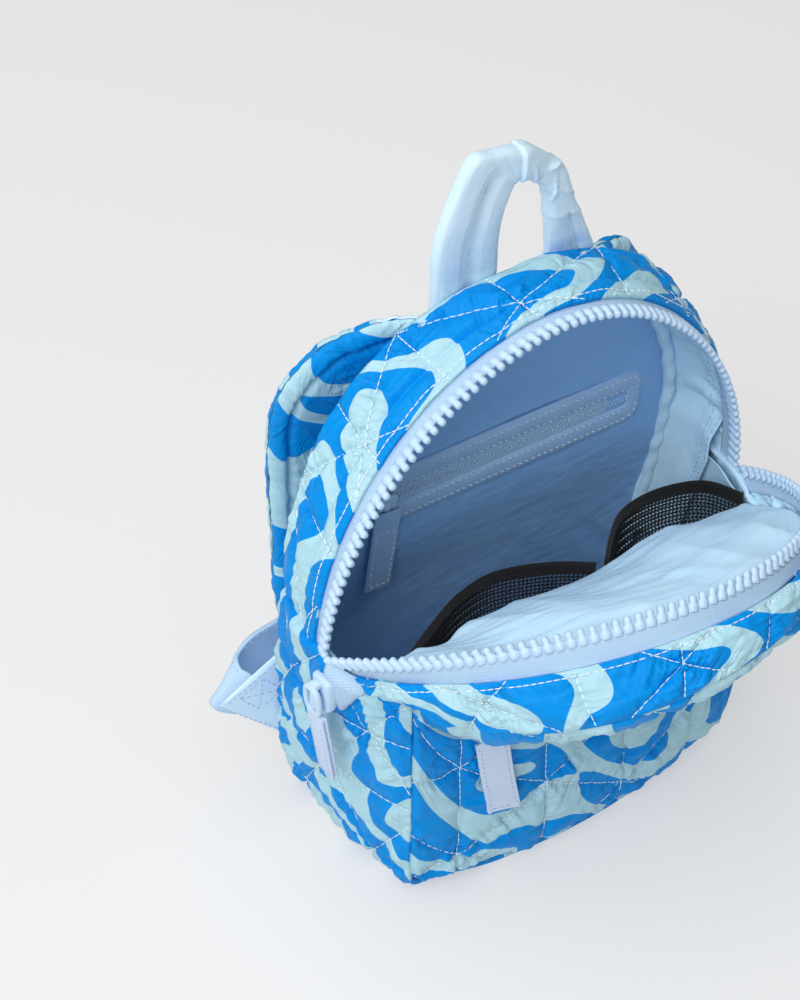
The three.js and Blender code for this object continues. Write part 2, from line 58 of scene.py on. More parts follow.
def ease(x):
    x = clamp(x)
    return x * x * (3 - 2 * x)


def bell(x, width):
    return exp(-(x / width) ** 2)


def signedPower(x, power):
    return abs(x) ** power * (1 if x > 0 else -1)


def ripple(u, v, seed, across, along):
    return noise.noise(Vector((u / across, v / along, seed)))


def ridge(u, v, seed, across, along):
    return 1 - abs(2.2 * noise.noise(Vector((u / across, v / along, seed))))


def spanAt(places, place):
    i = 0
    while i < len(places) - 2 and place > places[i + 1]:
        i += 1
    return i


class Track:
    # a smooth line through points, or through numbers, at given places along it
    def __init__(self, points, places=None):
        self.points = points
        if places is None:
            places = [0.0]
            for a, b in zip(points, points[1:]):
                places.append(places[-1] + (b - a).length)
        self.places = places
        self.length = places[-1]

    def slope(self, i):
        a, b = max(i - 1, 0), min(i + 1, len(self.points) - 1)
        return (self.points[b] - self.points[a]) / (self.places[b] - self.places[a])

    def at(self, k):
        place = clamp(k) * self.length
        i = spanAt(self.places, place)
        span = self.places[i + 1] - self.places[i]
        x = (place - self.places[i]) / span
        a, b = self.points[i], self.points[i + 1]
        rise = b - a
        first, last = self.slope(i) * span - rise, rise - self.slope(i + 1) * span
        return a + rise * x + (first * (1 - x) + last * x) * (x * (1 - x))

    def heading(self, k):
        return (self.at(min(k + 0.004, 1)) - self.at(max(k - 0.004, 0))).normalized()


class Shade:
    # wraps a socket, so that shader maths reads as sums
    def __init__(self, tree, socket=None):
        self.tree = tree
        self.socket = socket

    def plug(self, socket, value):
        if isinstance(value, Shade):
            self.tree.links.new(value.socket, socket)
        else:
            socket.default_value = value

    def node(self, kind, settings, values, out=0):
        made = self.tree.nodes.new("ShaderNode" + kind)
        for name, value in settings.items():
            setattr(made, name, value)
        for key, value in values.items():
            self.plug(made.inputs[key], value)
        return Shade(self.tree, made.outputs[out])

    def maths(self, operation, first, second=0.0):
        return self.node("Math", {"operation": operation}, {0: first, 1: second})

    def __add__(self, other):
        return self.maths("ADD", self, other)

    def __radd__(self, other):
        return self.maths("ADD", other, self)

    def __sub__(self, other):
        return self.maths("SUBTRACT", self, other)

    def __rsub__(self, other):
        return self.maths("SUBTRACT", other, self)

    def __mul__(self, other):
        return self.maths("MULTIPLY", self, other)

    def __rmul__(self, other):
        return self.maths("MULTIPLY", other, self)

    def __truediv__(self, other):
        return self.maths("DIVIDE", self, other)

    def __pow__(self, other):
        return self.maths("POWER", self, other)

    def wave(self):
        return self.maths("SINE", self)

    def size(self):
        return self.maths("ABSOLUTE", self)

    def limited(self, low=0.0, high=1.0):
        return self.maths("MINIMUM", self.maths("MAXIMUM", self, low), high)

    def blend(self, first, second):
        return self.node("Mix", {"data_type": "RGBA"}, {0: self, 6: first, 7: second}, 2)

    def noise(self, where, scale, detail=2.0, out=0):
        return self.node("TexNoise", {}, {"Vector": where, "Scale": scale, "Detail": detail}, out)

    def stretched(self, where, scale):
        return self.node("Mapping", {}, {"Vector": where, "Scale": scale})

    def bump(self, height, strength, distance):
        values = {"Height": height, "Strength": strength, "Distance": distance}
        return self.node("Bump", {}, values)


def startFinish(name, fixed):
    material = bpy.data.materials.new(name)
    material.use_nodes = True
    shader = material.node_tree.nodes["Principled BSDF"]
    for socket, value in fixed.items():
        shader.inputs[socket].default_value = value
    return material, Shade(material.node_tree), shader


def clothPlace(s):
    # the cloth's own map in decimetres, and its two directions in millimetres
    flat = s.node("UVMap", {"uv_map": "cloth"}, {})
    u = s.node("SeparateXYZ", {}, {0: flat}, 0) * 100
    v = s.node("SeparateXYZ", {}, {0: flat}, 1) * 100
    return flat, u, v


def colour(hexText):
    parts = [int(hexText[i:i + 2], 16) / 255 for i in (0, 2, 4)]
    return (*[p / 12.92 if p < 0.04045 else ((p + 0.055) / 1.055) ** 2.4 for p in parts], 1)


quilting = {"cell": 48.0, "puff": 3.2, "soft": 12.0, "pucker": 2.1, "wrinkle": 1.2}
stitchTurns = [0, pi / 3, 2 * pi / 3]
lineStep = quilting["cell"] * sqrt(3) / 2
printed = {"blue": "0096ea", "deep": "0086da", "aqua": "a8d5e5", "pale": "b6deea",
           "size": 2.05, "sway": 0.4, "bands": 7.4, "twill": 0.95}


def stitchPuckers(s, u, v):
    # fine gathers that run out from the quilting lines
    total = 0.0
    for turn in stitchTurns:
        over = (u * cos(turn) + v * sin(turn)) / lineStep
        off = s.maths("PINGPONG", over, 0.5) * lineStep
        along = v * cos(turn) - u * sin(turn)
        line = s.maths("ROUND", over) * 7.3 + turn * 5
        spot = s.node("CombineXYZ", {}, {0: along / 2.6, 1: off / 16, 2: line})
        total = (s.noise(spot, 1.0, 2.0) - 0.5) * (1 - off / 17).limited() ** 1.5 + total
    return total


def makePrint():
    material, s, shader = startFinish("printed_nylon", {"Specular IOR Level": 0.1})
    flat, u, v = clothPlace(s)
    sway = s.node("VectorMath", {"operation": "SUBTRACT"},
                  {0: s.noise(flat, printed["size"] * 0.9, 0.0, 1), 1: (0.5, 0.5, 0.5)})
    sway = s.node("VectorMath", {"operation": "SCALE"}, {0: sway, "Scale": printed["sway"]})
    moved = s.node("VectorMath", {"operation": "ADD"}, {0: s.stretched(flat, (0.8, 1.25, 1)), 1: sway})
    field = s.noise(moved, printed["size"], 0.0)
    band = (field * (printed["bands"] * pi)).wave() + 0.12
    blot = (band * 28 + 0.5).limited()
    tone = s.noise(flat, 9.0, 2.0)
    blue = tone.blend(colour(printed["blue"]), colour(printed["deep"]))
    aqua = tone.blend(colour(printed["aqua"]), colour(printed["pale"]))
    s.plug(shader.inputs["Base Color"], blot.blend(aqua, blue))
    step = 2 * pi / printed["twill"]
    twill = ((u + v) * step).wave() + 0.5 * ((u - v) * step).wave()
    crumple = s.noise(s.stretched(flat, (10, 28, 1)), 1.0, 3.0)
    s.plug(shader.inputs["Roughness"], 0.42 + 0.14 * tone - 0.05 * blot)
    rough = s.bump(twill, 0.22, 0.00012)
    fine = s.node("Bump", {}, {"Height": crumple, "Strength": 0.5, "Distance": 0.0012, "Normal": rough})
    drawn = {"Height": stitchPuckers(s, u, v), "Strength": 0.9, "Distance": 0.0022, "Normal": fine}
    s.plug(shader.inputs["Normal"], s.node("Bump", {}, drawn))
    return material


def makePlainCloth(name, light, dark, weave, crease):
    material, s, shader = startFinish(name, {"Sheen Weight": 0.08, "Specular IOR Level": 0.35})
    flat, u, v = clothPlace(s)
    step = 2 * pi / weave
    threads = (u * step).wave() + (v * step).wave()
    tone = s.noise(flat, 6.0, 3.0)
    s.plug(shader.inputs["Base Color"], tone.blend(colour(dark), colour(light)))
    s.plug(shader.inputs["Roughness"], 0.45 + 0.18 * tone)
    rough = s.bump(threads, 0.2, 0.0001)
    folds = s.noise(s.stretched(flat, (10, 22, 1)), 1.0, 3.0)
    values = {"Height": folds, "Strength": 0.45, "Distance": crease, "Normal": rough}
    s.plug(shader.inputs["Normal"], s.node("Bump", {}, values))
    return material


def makeTape():
    material, s, shader = startFinish("zip_tape_weave", {"Sheen Weight": 0.1, "Specular IOR Level": 0.3})
    flat, u, v = clothPlace(s)
    fold = (s.maths("FRACT", v / 2.0) - 0.5).size()
    bone = ((u / 0.72 + fold * 2.4) * (2 * pi)).wave()
    ribs = (v * (2 * pi / 1.0)).wave()
    tone = (0.5 + 0.5 * bone).limited()
    s.plug(shader.inputs["Base Color"], tone.blend(colour("a6caec"), colour("c6dff7")))
    s.plug(shader.inputs["Roughness"], 0.62 + 0.16 * tone)
    s.plug(shader.inputs["Normal"], s.bump(bone + 0.4 * ribs, 0.5, 0.00022))
    return material


def makePlastic(name, light, dark, shine):
    material, s, shader = startFinish(name, {"Specular IOR Level": 0.5})
    where = s.node("TexCoord", {}, {}, 3)
    tone = s.noise(where, 90.0, 2.0)
    s.plug(shader.inputs["Base Color"], tone.blend(colour(dark), colour(light)))
    s.plug(shader.inputs["Roughness"], shine + 0.16 * tone)
    s.plug(shader.inputs["Normal"], s.bump(s.noise(where, 900.0, 2.0), 0.12, 0.0001))
    return material


def makeLeather(name, light, dark):
    material, s, shader = startFinish(name, {"Specular IOR Level": 0.4})
    where = s.node("TexCoord", {}, {}, 3)
    tone = s.noise(where, 60.0, 3.0)
    grain = s.node("TexVoronoi", {}, {"Vector": where, "Scale": 1500.0})
    s.plug(shader.inputs["Base Color"], tone.blend(colour(dark), colour(light)))
    s.plug(shader.inputs["Roughness"], 0.46 + 0.2 * grain)
    s.plug(shader.inputs["Normal"], s.bump(grain + 0.5 * tone, 0.3, 0.00018))
    return material


def makeBlack(name, ribs):
    material, s, shader = startFinish(name, {"Sheen Weight": 0.12, "Specular IOR Level": 0.25})
    flat, u, v = clothPlace(s)
    rib = (u * (2 * pi / ribs)).wave() + 0.6 * (v * (2 * pi / (ribs * 1.4))).wave()
    tone = (0.5 + 0.3 * rib).limited()
    s.plug(shader.inputs["Base Color"], tone.blend(colour("0b0b0d"), colour("1d1d21")))
    s.plug(shader.inputs["Roughness"], 0.68 + 0.2 * tone)
    s.plug(shader.inputs["Normal"], s.bump(rib, 0.4, 0.0002))
    return material


def makeThread(name, light, dark):
    material, s, shader = startFinish(name, {"Sheen Weight": 0.15})
    where = s.node("TexCoord", {}, {}, 3)
    tone = s.noise(where, 1400.0, 1.0)
    s.plug(shader.inputs["Base Color"], tone.blend(colour(dark), colour(light)))
    s.plug(shader.inputs["Roughness"], 0.5 + 0.25 * tone)
    return material


def makeFloor():
    fixed = {"Specular IOR Level": 0.1, "Emission Color": (1, 1, 1, 1), "Emission Strength": 0.45}
    material, s, shader = startFinish("pale_floor", fixed)
    where = s.node("TexCoord", {}, {}, 3)
    tone = s.noise(where, 1.3, 1.0)
    s.plug(shader.inputs["Base Color"], tone.blend(colour("aaaaaa"), colour("aeaeae")))
    s.plug(shader.inputs["Roughness"], 0.85 + 0.1 * tone)
    return material


finishes = {
    "print": makePrint(),
    "lining": makePlainCloth("lining_nylon", "cdeeff", "c1e6ff", 0.5, 0.0014),
    # a darker copy of the lining cloth: painted shade for the bag's shaded inside
    "shadedLining": makePlainCloth("back_lining_nylon_painted_shade", "95c1ef", "86b5ea", 0.5, 0.0014),
    "plain": makePlainCloth("plain_nylon", "d8f0ff", "cdeaff", 0.55, 0.0009),
    "webbing": makePlainCloth("woven_webbing", "c8e0f8", "a9cdf1", 1.1, 0.0003),
    "tape": makeTape(),
    "plastic": makePlastic("moulded_plastic", "c8e1f7", "b9d7f3", 0.34),
    "leather": makeLeather("soft_leather", "d2e1f6", "bdd1ee"),
    "pocketLeather": makeLeather("pocket_leather", "b2cdee", "9dbde5"),
    "net": makeBlack("black_net", 0.8),
    "elastic": makeBlack("black_elastic", 0.9),
    "thread": makeThread("white_thread", "f4fbff", "d8ecf7"),
    "paleThread": makeThread("pale_thread", "b4cdec", "98b6dd"),
}
print("finishes", len(finishes))


camera = {"azimuth": -35.86, "elevation": 40.21, "roll": 1.69, "at": (-434.07, -513.79, 710.63),
          "lens": 78.26}


def setCamera():
    a, e, r = (radians(camera[key]) for key in ("azimuth", "elevation", "roll"))
    back = Vector((sin(a) * cos(e), -cos(a) * cos(e), sin(e)))
    right = (-back).cross(Vector((0, 0, 1))).normalized()
    up = right.cross(-back)
    axes = Matrix((right * cos(r) + up * sin(r), up * cos(r) - right * sin(r), back)).transposed()
    lens = bpy.data.cameras.new("camera")
    lens.lens = camera["lens"]
    lens.clip_start = 0.05
    seen = bpy.data.objects.new("camera", lens)
    seen.matrix_world = Matrix.Translation(Vector(camera["at"]) * mm) @ axes.to_4x4()
    scene.collection.objects.link(seen)
    scene.camera = seen


lamps = [
    {"name": "ceiling", "at": (-0.7, -0.1, 2.2), "size": 3.0, "power": 48, "tint": (1, 1, 1)},
    {"name": "window", "at": (-1.55, -0.8, 1.5), "size": 1.1, "power": 20, "tint": (1, 0.995, 0.985)},
]


def setLight():
    for lamp in lamps:
        light = bpy.data.lights.new(lamp["name"], "AREA")
        light.size = lamp["size"]
        light.energy = lamp["power"]
        light.color = lamp["tint"]
        shown = bpy.data.objects.new(lamp["name"], light)
        aim = Vector((0, 0, 0.1)) - Vector(lamp["at"])
        facing = aim.to_track_quat("-Z", "Y").to_matrix().to_4x4()
        shown.matrix_world = Matrix.Translation(lamp["at"]) @ facing
        scene.collection.objects.link(shown)
    world = bpy.data.worlds.new("studio")
    world.use_nodes = True
    world.node_tree.nodes["Background"].inputs[0].default_value = (1, 1, 1, 1)
    world.node_tree.nodes["Background"].inputs[1].default_value = 0.18
    scene.world = world
    bm = bmesh.new()
    bmesh.ops.create_grid(bm, x_segments=8, y_segments=8, size=4)
    mesh = bpy.data.meshes.new("floor")
    bm.to_mesh(mesh)
    bm.free()
    mesh.materials.append(makeFloor())
    floor = bpy.data.objects.new("floor", mesh)
    floor.location.z = -0.0002
    scene.collection.objects.link(floor)


setCamera()
setLight()
print("camera and light")


def addPiece(name, bm, looks, nodes=()):
    for vertex in bm.verts:
        vertex.co *= mm
    for face in bm.faces:
        face.smooth = True
    mesh = bpy.data.meshes.new(name)
    bm.to_mesh(mesh)
    bm.free()
    for look in looks:
        mesh.materials.append(finishes[look])
    piece = bpy.data.objects.new(name, mesh)
    scene.collection.objects.link(piece)
    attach(piece, "root")
    if nodes:
        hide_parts(*nodes)
    return piece


def thicken(piece, thick, inner=0):
    shell = piece.modifiers.new("thickness", "SOLIDIFY")
    shell.thickness = thick * mm
    shell.offset = -1
    shell.material_offset = inner


# A cloth is a grid of squares laid on a shape: place gives a point, flat its place on the cut cloth,
# and relief how far it stands out from the shape.
def layCloth(columns, rows, place, flat, relief, inside=bagMiddle, wrap=False, shift=(0, 0)):
    bm = bmesh.new()
    bmesh.ops.create_grid(bm, x_segments=columns, y_segments=rows, size=0.5)
    spots = {}
    for vertex in bm.verts:
        s, t = vertex.co.x + 0.5, vertex.co.y + 0.5
        spots[vertex] = (s, t, *flat(s, t))
        vertex.co = place(s, t)
    bm.normal_update()
    if not wrap and sum(v.normal.dot(inside - v.co) for v in bm.verts) > 0:
        bmesh.ops.reverse_faces(bm, faces=bm.faces)
        bm.normal_update()
    layer = bm.loops.layers.uv.new("cloth")
    for face in bm.faces:
        for loop in face.loops:
            s, t, u, v = spots[loop.vert]
            loop[layer].uv = ((u + shift[0]) / 100, (v + shift[1]) / 100)
    moves = [(vertex, vertex.normal * relief(*spots[vertex])) for vertex in bm.verts]
    for vertex, move in moves:
        vertex.co += move
    bm.normal_update()
    return bm


def smooth(s, t, u, v):
    return 0


def keepOffFloor(bm, least=0.15):
    for vertex in bm.verts:
        vertex.co.z = max(vertex.co.z, least)


# Finds the point and the outward direction over a place on the cut cloth.
class SewingMap:
    def __init__(self, bm, shift=(0, 0)):
        layer = bm.loops.layers.uv.active
        back = Vector((*shift, 0))
        self.flats, self.solids, points, corners = [], [], [], []
        for loops in bm.calc_loop_triangles():
            flat = [Vector((*loop[layer].uv, 0)) * 100 - back for loop in loops]
            self.flats.append(flat)
            self.solids.append([loop.vert.co.copy() for loop in loops])
            corners.append((len(points), len(points) + 1, len(points) + 2))
            points.extend(flat)
        self.tree = BVHTree.FromPolygons(points, corners)
        self.low = [min(p[i] for p in points) for i in (0, 1)]
        self.high = [max(p[i] for p in points) for i in (0, 1)]

    def find(self, u, v):
        hit = self.tree.ray_cast(Vector((u, v, 5)), Vector((0, 0, -1)))
        if hit[2] is None:
            return None
        solid = self.solids[hit[2]]
        point = barycentric_transform(Vector((u, v, 0)), *self.flats[hit[2]], *solid)
        normal = (solid[1] - solid[0]).cross(solid[2] - solid[0]).normalized()
        return point, normal


stitch = {"pitch": 3.0, "length": 3.4, "thick": 0.27, "lift": 0.18}
fineStitch = (3.0, 2.3, 0.26)  # pitch, length, thickness


def sewStitch(bm, start, end, thick=stitch["thick"], lift=stitch["lift"]):
    (a, over), (b, above) = start, end
    up = (over + above).normalized()
    run = b - a
    if run.length < 0.4 or run.length > 9:
        return
    side = up.cross(run).normalized()
    up = run.normalized().cross(side)
    axes = Matrix((run * 0.5, side * thick, up * thick)).transposed().to_4x4()
    at = Matrix.Translation((a + b) * 0.5 + up * lift)
    bmesh.ops.create_icosphere(bm, subdivisions=1, radius=1, matrix=at @ axes)


def sewAlong(bm, sewing, path, pitch=stitch["pitch"], length=stitch["length"], thick=stitch["thick"],
             lift=stitch["lift"]):
    track = Track([Vector((*p, 0)) for p in path])
    for i in range(int(track.length / pitch)):
        a = track.at(i * pitch / track.length)
        b = track.at((i * pitch + length) / track.length)
        ends = sewing.find(a.x, a.y), sewing.find(b.x, b.y)
        if None not in ends:
            sewStitch(bm, *ends, thick, lift)


def quiltRelief(u, v, seed, edge, puff=quilting["puff"], pucker=quilting["pucker"]):
    nearest, creases = 1e9, 0.0
    for turn in stitchTurns:
        over = (u * cos(turn) + v * sin(turn)) / lineStep
        line = round(over)
        off = abs(over - line) * lineStep
        along = v * cos(turn) - u * sin(turn)
        nearest = min(nearest, off)
        if off < 24:
            drawn = noise.noise(Vector((along / 4.2, off / 18, seed + 5.3 * line + turn)))
            drawn += 0.5 * noise.noise(Vector((along / 2.4, off / 10, seed + 3.1 * line + turn)))
            creases += drawn * exp(-off / 7) * ease(off / 1.6)
    dome = sqrt(1 - (1 - min(nearest / quilting["soft"], 1)) ** 2)
    wrinkle = ripple(u, v, seed, 26, 5) + 0.5 * ripple(u, v, seed + 3, 11, 3)
    height = puff * (dome - 0.5) + pucker * creases + quilting["wrinkle"] * wrinkle * dome
    height += 0.9 * ripple(u, v, seed + 7, 3.4, 3.4) * exp(-edge / 3.5)
    tuck = ease(edge / 3.2)
    return height * tuck - 0.8 * (1 - tuck)


def sewQuilt(bm, sewing, shift=(0, 0)):
    reach = max(sewing.high[i] - sewing.low[i] for i in (0, 1)) * 1.5
    middle = [0.5 * (sewing.high[i] + sewing.low[i]) for i in (0, 1)]
    for turn in stitchTurns:
        across, run = Vector((cos(turn), sin(turn))), Vector((-sin(turn), cos(turn)))
        centre = across.dot(Vector((middle[0] + shift[0], middle[1] + shift[1])))
        start = run.dot(Vector((middle[0] + shift[0], middle[1] + shift[1])))
        count = int(reach / lineStep / 2) + 1
        for k in range(-count, count + 1):
            line = (round(centre / lineStep) + k) * lineStep
            for i in range(int(-reach / stitch["pitch"] / 2), int(reach / stitch["pitch"] / 2)):
                a = across * line + run * (start + i * stitch["pitch"]) - Vector(shift)
                b = a + run * stitch["length"]
                if not any(all(sewing.low[j] < p[j] < sewing.high[j] for j in (0, 1)) for p in (a, b)):
                    continue
                found = [sewing.find(*a.lerp(b, share / 4)) for share in range(5)]
                found = [spot for spot in found if spot]
                if len(found) > 1:
                    sewStitch(bm, found[0], found[-1])


def rowAlong(length, across, steps=40):
    return [(k / steps * length, across) for k in range(steps + 1)]


def addQuilted(node, bm, sizes, rows=()):
    # a quilted cloth and its stitches, with rows of topstitching
    sewing, seams = SewingMap(bm, sizes["shift"]), bmesh.new()
    sewQuilt(seams, sewing, sizes["shift"])
    for row in rows:
        sewAlong(seams, sewing, row)
    keepOffFloor(seams, 0.02)
    piece = addPiece(node + "_cloth", bm, ("print", "lining"), [node])
    thicken(piece, sizes["thick"], 1)
    addPiece(node + "_stitches", seams, ("thread",))


arches = {
    "zipRear": {"left": (-109, -16, 125), "right": (103, -16, 125), "reach": (3.5, -1, 118), "power": 1.85,
                "twist": 0},
    "back": {"left": (-98, 29, 125), "right": (106, 29, 125), "reach": (0, -5, 119), "power": 2.4,
             "twist": 0},
    "zipFlap": {"left": (-109, -16, 125), "right": (103, -16, 125), "reach": (9, -95, 54), "power": 1.95,
                "twist": 2},
    "seamFlap": {"left": (-88, -47, 117), "right": (92, -47, 117), "reach": (-9, -85, 44), "power": 2.06,
                 "twist": -5},
}


def archPoint(name, phi):
    arch = arches[name]
    c, s = cos(phi), max(sin(phi), 0)
    bend = 2 / arch["power"]
    along = 0.5 * (1 - signedPower(c, bend))
    point = Vector(arch["left"]).lerp(Vector(arch["right"]), along)
    point += Vector(arch["reach"]) * s ** bend
    point.z += arch["twist"] * sin(2 * phi)
    return point


class ArchWalk:
    # even steps along an arch: at(k) gives its angle
    def __init__(self, name, start, stop, steps=600):
        self.angles = [lerp(start, stop, i / steps) for i in range(steps + 1)]
        points = [archPoint(name, phi) for phi in self.angles]
        self.places = [0.0]
        for a, b in zip(points, points[1:]):
            self.places.append(self.places[-1] + (b - a).length)
        self.length = self.places[-1]
        self.found = {}

    def at(self, k):
        if k not in self.found:
            place = clamp(k) * self.length
            i = spanAt(self.places, place)
            share = (place - self.places[i]) / (self.places[i + 1] - self.places[i])
            self.found[k] = lerp(self.angles[i], self.angles[i + 1], share)
        return self.found[k]


# A band sewn between a zip and a seam: s runs along the arch and t across from the zip.
class Band:
    def __init__(self, zipArch, seamArch, start, nearZip, nearSeam, bulge):
        self.zipArch, self.seamArch = zipArch, seamArch
        self.walk = ArchWalk(zipArch, start, pi - start)
        self.nearZip, self.nearSeam, self.bulge = nearZip, nearSeam, bulge
        arch = arches[zipArch]
        foot = Vector(arch["left"]).lerp(Vector(arch["right"]), 0.5)
        self.centre = archPoint(zipArch, pi / 2).lerp(foot, 0.6)
        widths = [self.across(k / 20)[2] for k in range(21)]
        self.width = sum(widths) / len(widths) - nearZip - nearSeam

    def across(self, s):
        phi = self.walk.at(s)
        tape, seam = archPoint(self.zipArch, phi), archPoint(self.seamArch, phi)
        return tape, seam, (seam - tape).length

    def place(self, s, t):
        tape, seam, width = self.across(s)
        k = lerp(self.nearZip / width, 1 - self.nearSeam / width, t)
        point = tape.lerp(seam, k)
        return point + (point - self.centre).normalized() * (self.bulge * 4 * k * (1 - k))

    def flat(self, s, t):
        return s * self.walk.length, t * self.width


rearGusset = {"start": 0.02, "nearZip": 8.9, "bulge": 2.0, "groove": 10.5, "topstitch": 3.2,
              "columns": 560, "rows": 56, "thick": 2.4, "shift": (0, -11)}


def makeRearGusset():
    band = Band("zipRear", "back", rearGusset["start"], rearGusset["nearZip"], 0, rearGusset["bulge"])
    shift = rearGusset["shift"]

    def relief(s, t, u, v):
        edge = min(v, band.width - v, u, band.walk.length - u)
        off = abs(v - rearGusset["groove"])
        groove = exp(-off / 1.3) * (1 + 0.5 * ripple(u, v, 11.0, 2.6, 40))
        row = bell(v - rearGusset["topstitch"], 0.9)
        swell = ease((v - rearGusset["groove"]) / 5) if v > rearGusset["groove"] else 0.55
        height = quiltRelief(u + shift[0], v + shift[1], 1.0, edge) * swell
        return height - 1.9 * groove - 0.5 * row

    bm = layCloth(rearGusset["columns"], rearGusset["rows"], band.place, band.flat, relief, shift=shift)
    addQuilted("rear_gusset", bm, rearGusset, [rowAlong(band.walk.length, rearGusset["topstitch"])])


makeRearGusset()
print("rear gusset")


lowerTops = [{"front": (-86, -45, 119.5), "mid": (-106.3, -16, 129), "back": (-95.6, 28, 129)},
             {"front": (90, -45, 119.5), "mid": (100.3, -16, 129), "back": (103.6, 28, 129)}]
lowerLeft = [
    {"front": (-88, -47, 117), "mid": (-109, -16, 125), "back": (-98, 29, 125)},
    {"front": (-88, -47.5, 88), "mid": (-105, -7, 92), "back": (-97, 35, 92)},
    {"front": (-87.5, -47, 50), "mid": (-99, -2, 50), "back": (-94.5, 40, 50)},
    {"front": (-86.5, -46, 20), "mid": (-94, 0, 20), "back": (-91, 43, 20)},
    {"front": (-83.5, -44, 6), "mid": (-88, 0, 6), "back": (-87, 43, 6)},
    {"front": (-78, -42.5, 1), "mid": (-81, 0, 0.8), "back": (-81, 42, 1)},
    {"front": (-72, -42, 0), "mid": (-72, 0, 0), "back": (-72, 42, 0)},
]
lowerRight = [
    {"front": (92, -47, 117), "mid": (103, -16, 125), "back": (106, 29, 125)},
    {"front": (91, -47.5, 88), "mid": (104, -7, 92), "back": (103, 35, 92)},
    {"front": (90, -47, 50), "mid": (101, -2, 50), "back": (98, 40, 50)},
    {"front": (88.5, -46, 20), "mid": (95, 0, 20), "back": (92, 43, 20)},
    {"front": (85.5, -44, 6), "mid": (89, 0, 6), "back": (88, 43, 6)},
    {"front": (80, -42.5, 1), "mid": (82, 0, 0.8), "back": (82, 42, 1)},
    {"front": (72, -42, 0), "mid": (72, 0, 0), "back": (72, 42, 0)},
]


def floorRow(x):
    bow = 11 * (1 - (x / 78) ** 2)
    return {"front": (x, -42 - bow, 0), "mid": (x, -bow / 2, 0), "back": (x, 42, 0)}


def seamAt(side, seam, z):
    for upper, lower in zip(side, side[1:]):
        if lower[seam][2] <= z:
            low, high = Vector(lower[seam]), Vector(upper[seam])
            return low.lerp(high, (z - low.z) / (high.z - low.z))


lowerGusset = {"columns": 460, "rows": 104, "thick": 2.4, "width": 88.0, "hem": 2.2, "shift": (8, 6)}
lowerLining = {"inward": 6.1, "edges": (0.04, 0.95), "columns": 150, "rows": 34, "thick": 0.5}


class LowerStrip:
    # down the left side, under the base and up the right side
    def __init__(self):
        rows = lowerTops[:1] + lowerLeft + [floorRow(x) for x in (-48, -24, 0, 24, 48)]
        rows += lowerRight[::-1] + lowerTops[1:]
        middle = Track([Vector(row["mid"]) for row in rows])
        self.tracks = [Track([Vector(row[key]) for row in rows], middle.places)
                       for key in ("front", "mid", "back")]
        self.length = middle.length
        self.found = {}

    def place(self, s, t):
        if s not in self.found:
            self.found[s] = [track.at(s) for track in self.tracks]
        front, mid, back = self.found[s]
        point = front * (2 * (t - 0.5) * (t - 1)) + mid * (4 * t * (1 - t)) + back * (2 * t * (t - 0.5))
        point.z = max(point.z, 0)
        return point

    def flat(self, s, t):
        return s * self.length, t * lowerGusset["width"]


def makeLowerGusset():
    strip = LowerStrip()
    shift = lowerGusset["shift"]

    def relief(s, t, u, v):
        end = min(u, strip.length - u)
        edge = min(v, lowerGusset["width"] - v, end)
        slack = (1 - ease((end - 8) / 46)) * (1 - ease((v - 12) / 34))  # crumpled below the zip's ends
        crumple = 2.6 * (ridge(end + 0.4 * v, v, 33.0, 9, 30) - 0.55)
        crumple += 1.5 * (ridge(end, v, 34.0, 6, 15) - 0.6)
        height = quiltRelief(u + shift[0], v + shift[1], 2.0, edge)
        return height * (1 - 0.4 * slack) + crumple * slack * ease(edge / 4)

    inside = Vector((1, 0, 70))
    bm = layCloth(lowerGusset["columns"], lowerGusset["rows"], strip.place, strip.flat, relief, inside,
                  shift=shift)
    keepOffFloor(bm)
    layer = bm.loops.layers.uv.active
    for face in bm.faces:  # the right top end is turned in
        u = 100 * face.loops[0][layer].uv.x - shift[0]
        face.material_index = 1 if strip.length - u < lowerGusset["hem"] else 0
    addQuilted("lower_gusset", bm, lowerGusset)

    def hang(s, t, u, v):
        fold = 0.7 * ripple(u, v, 21.0, 40, 11) + 0.4 * ridge(u, v, 22.0, 70, 16)
        return -lowerLining["inward"] + fold * ease(min(t, 1 - t) / 0.12)

    def inward(s, t):
        return strip.place(s, lerp(*lowerLining["edges"], t))

    bm = layCloth(lowerLining["columns"], lowerLining["rows"], inward, strip.flat, hang, inside)
    bmesh.ops.reverse_faces(bm, faces=bm.faces)
    lining = addPiece("lower_lining_cloth", bm, ("lining",))
    thicken(lining, lowerLining["thick"])


makeLowerGusset()
print("lower gusset")


frontRows = [(0, 11), (0.08, 12), (0.25, 11), (0.5, 8.5), (0.72, 6), (0.88, 5), (0.96, 1)]  # rise, swell
flapRows = [0, 0.05, 0.11, 0.2, 0.32, 0.45, 0.58, 0.7, 0.81, 0.9, 0.97]
frontPanel = {"seam": 117.0, "fold": 84.0, "foot": 4.6, "sharp": 6, "inset": 0.8, "columns": 208,
              "rows": 230, "thick": 2.4, "shift": (6, 10)}


def seamAcross(t, u):
    phi, inset = t * pi / 2, frontPanel["inset"]
    left, right = archPoint("seamFlap", phi), archPoint("seamFlap", pi - phi)
    left.x += inset * cos(phi)
    right.x -= inset * cos(phi)
    point = left.lerp(right, 0.5 * (1 + u))
    point.y += inset * sin(phi)
    point.z -= 0.3 * inset * sin(phi)
    return point


def flapPoint(t, u):
    across = 1 - abs(u) ** frontPanel["sharp"]
    point = seamAcross(t, u)
    slack = (1 - t) ** 1.5
    point.z -= (frontPanel["seam"] - frontPanel["fold"]) * slack * across
    point.y += 4 * slack * across
    droop = 5 * sin(pi * t) * (1 - u * u)
    return point + Vector((0, -0.5 * droop, -droop))


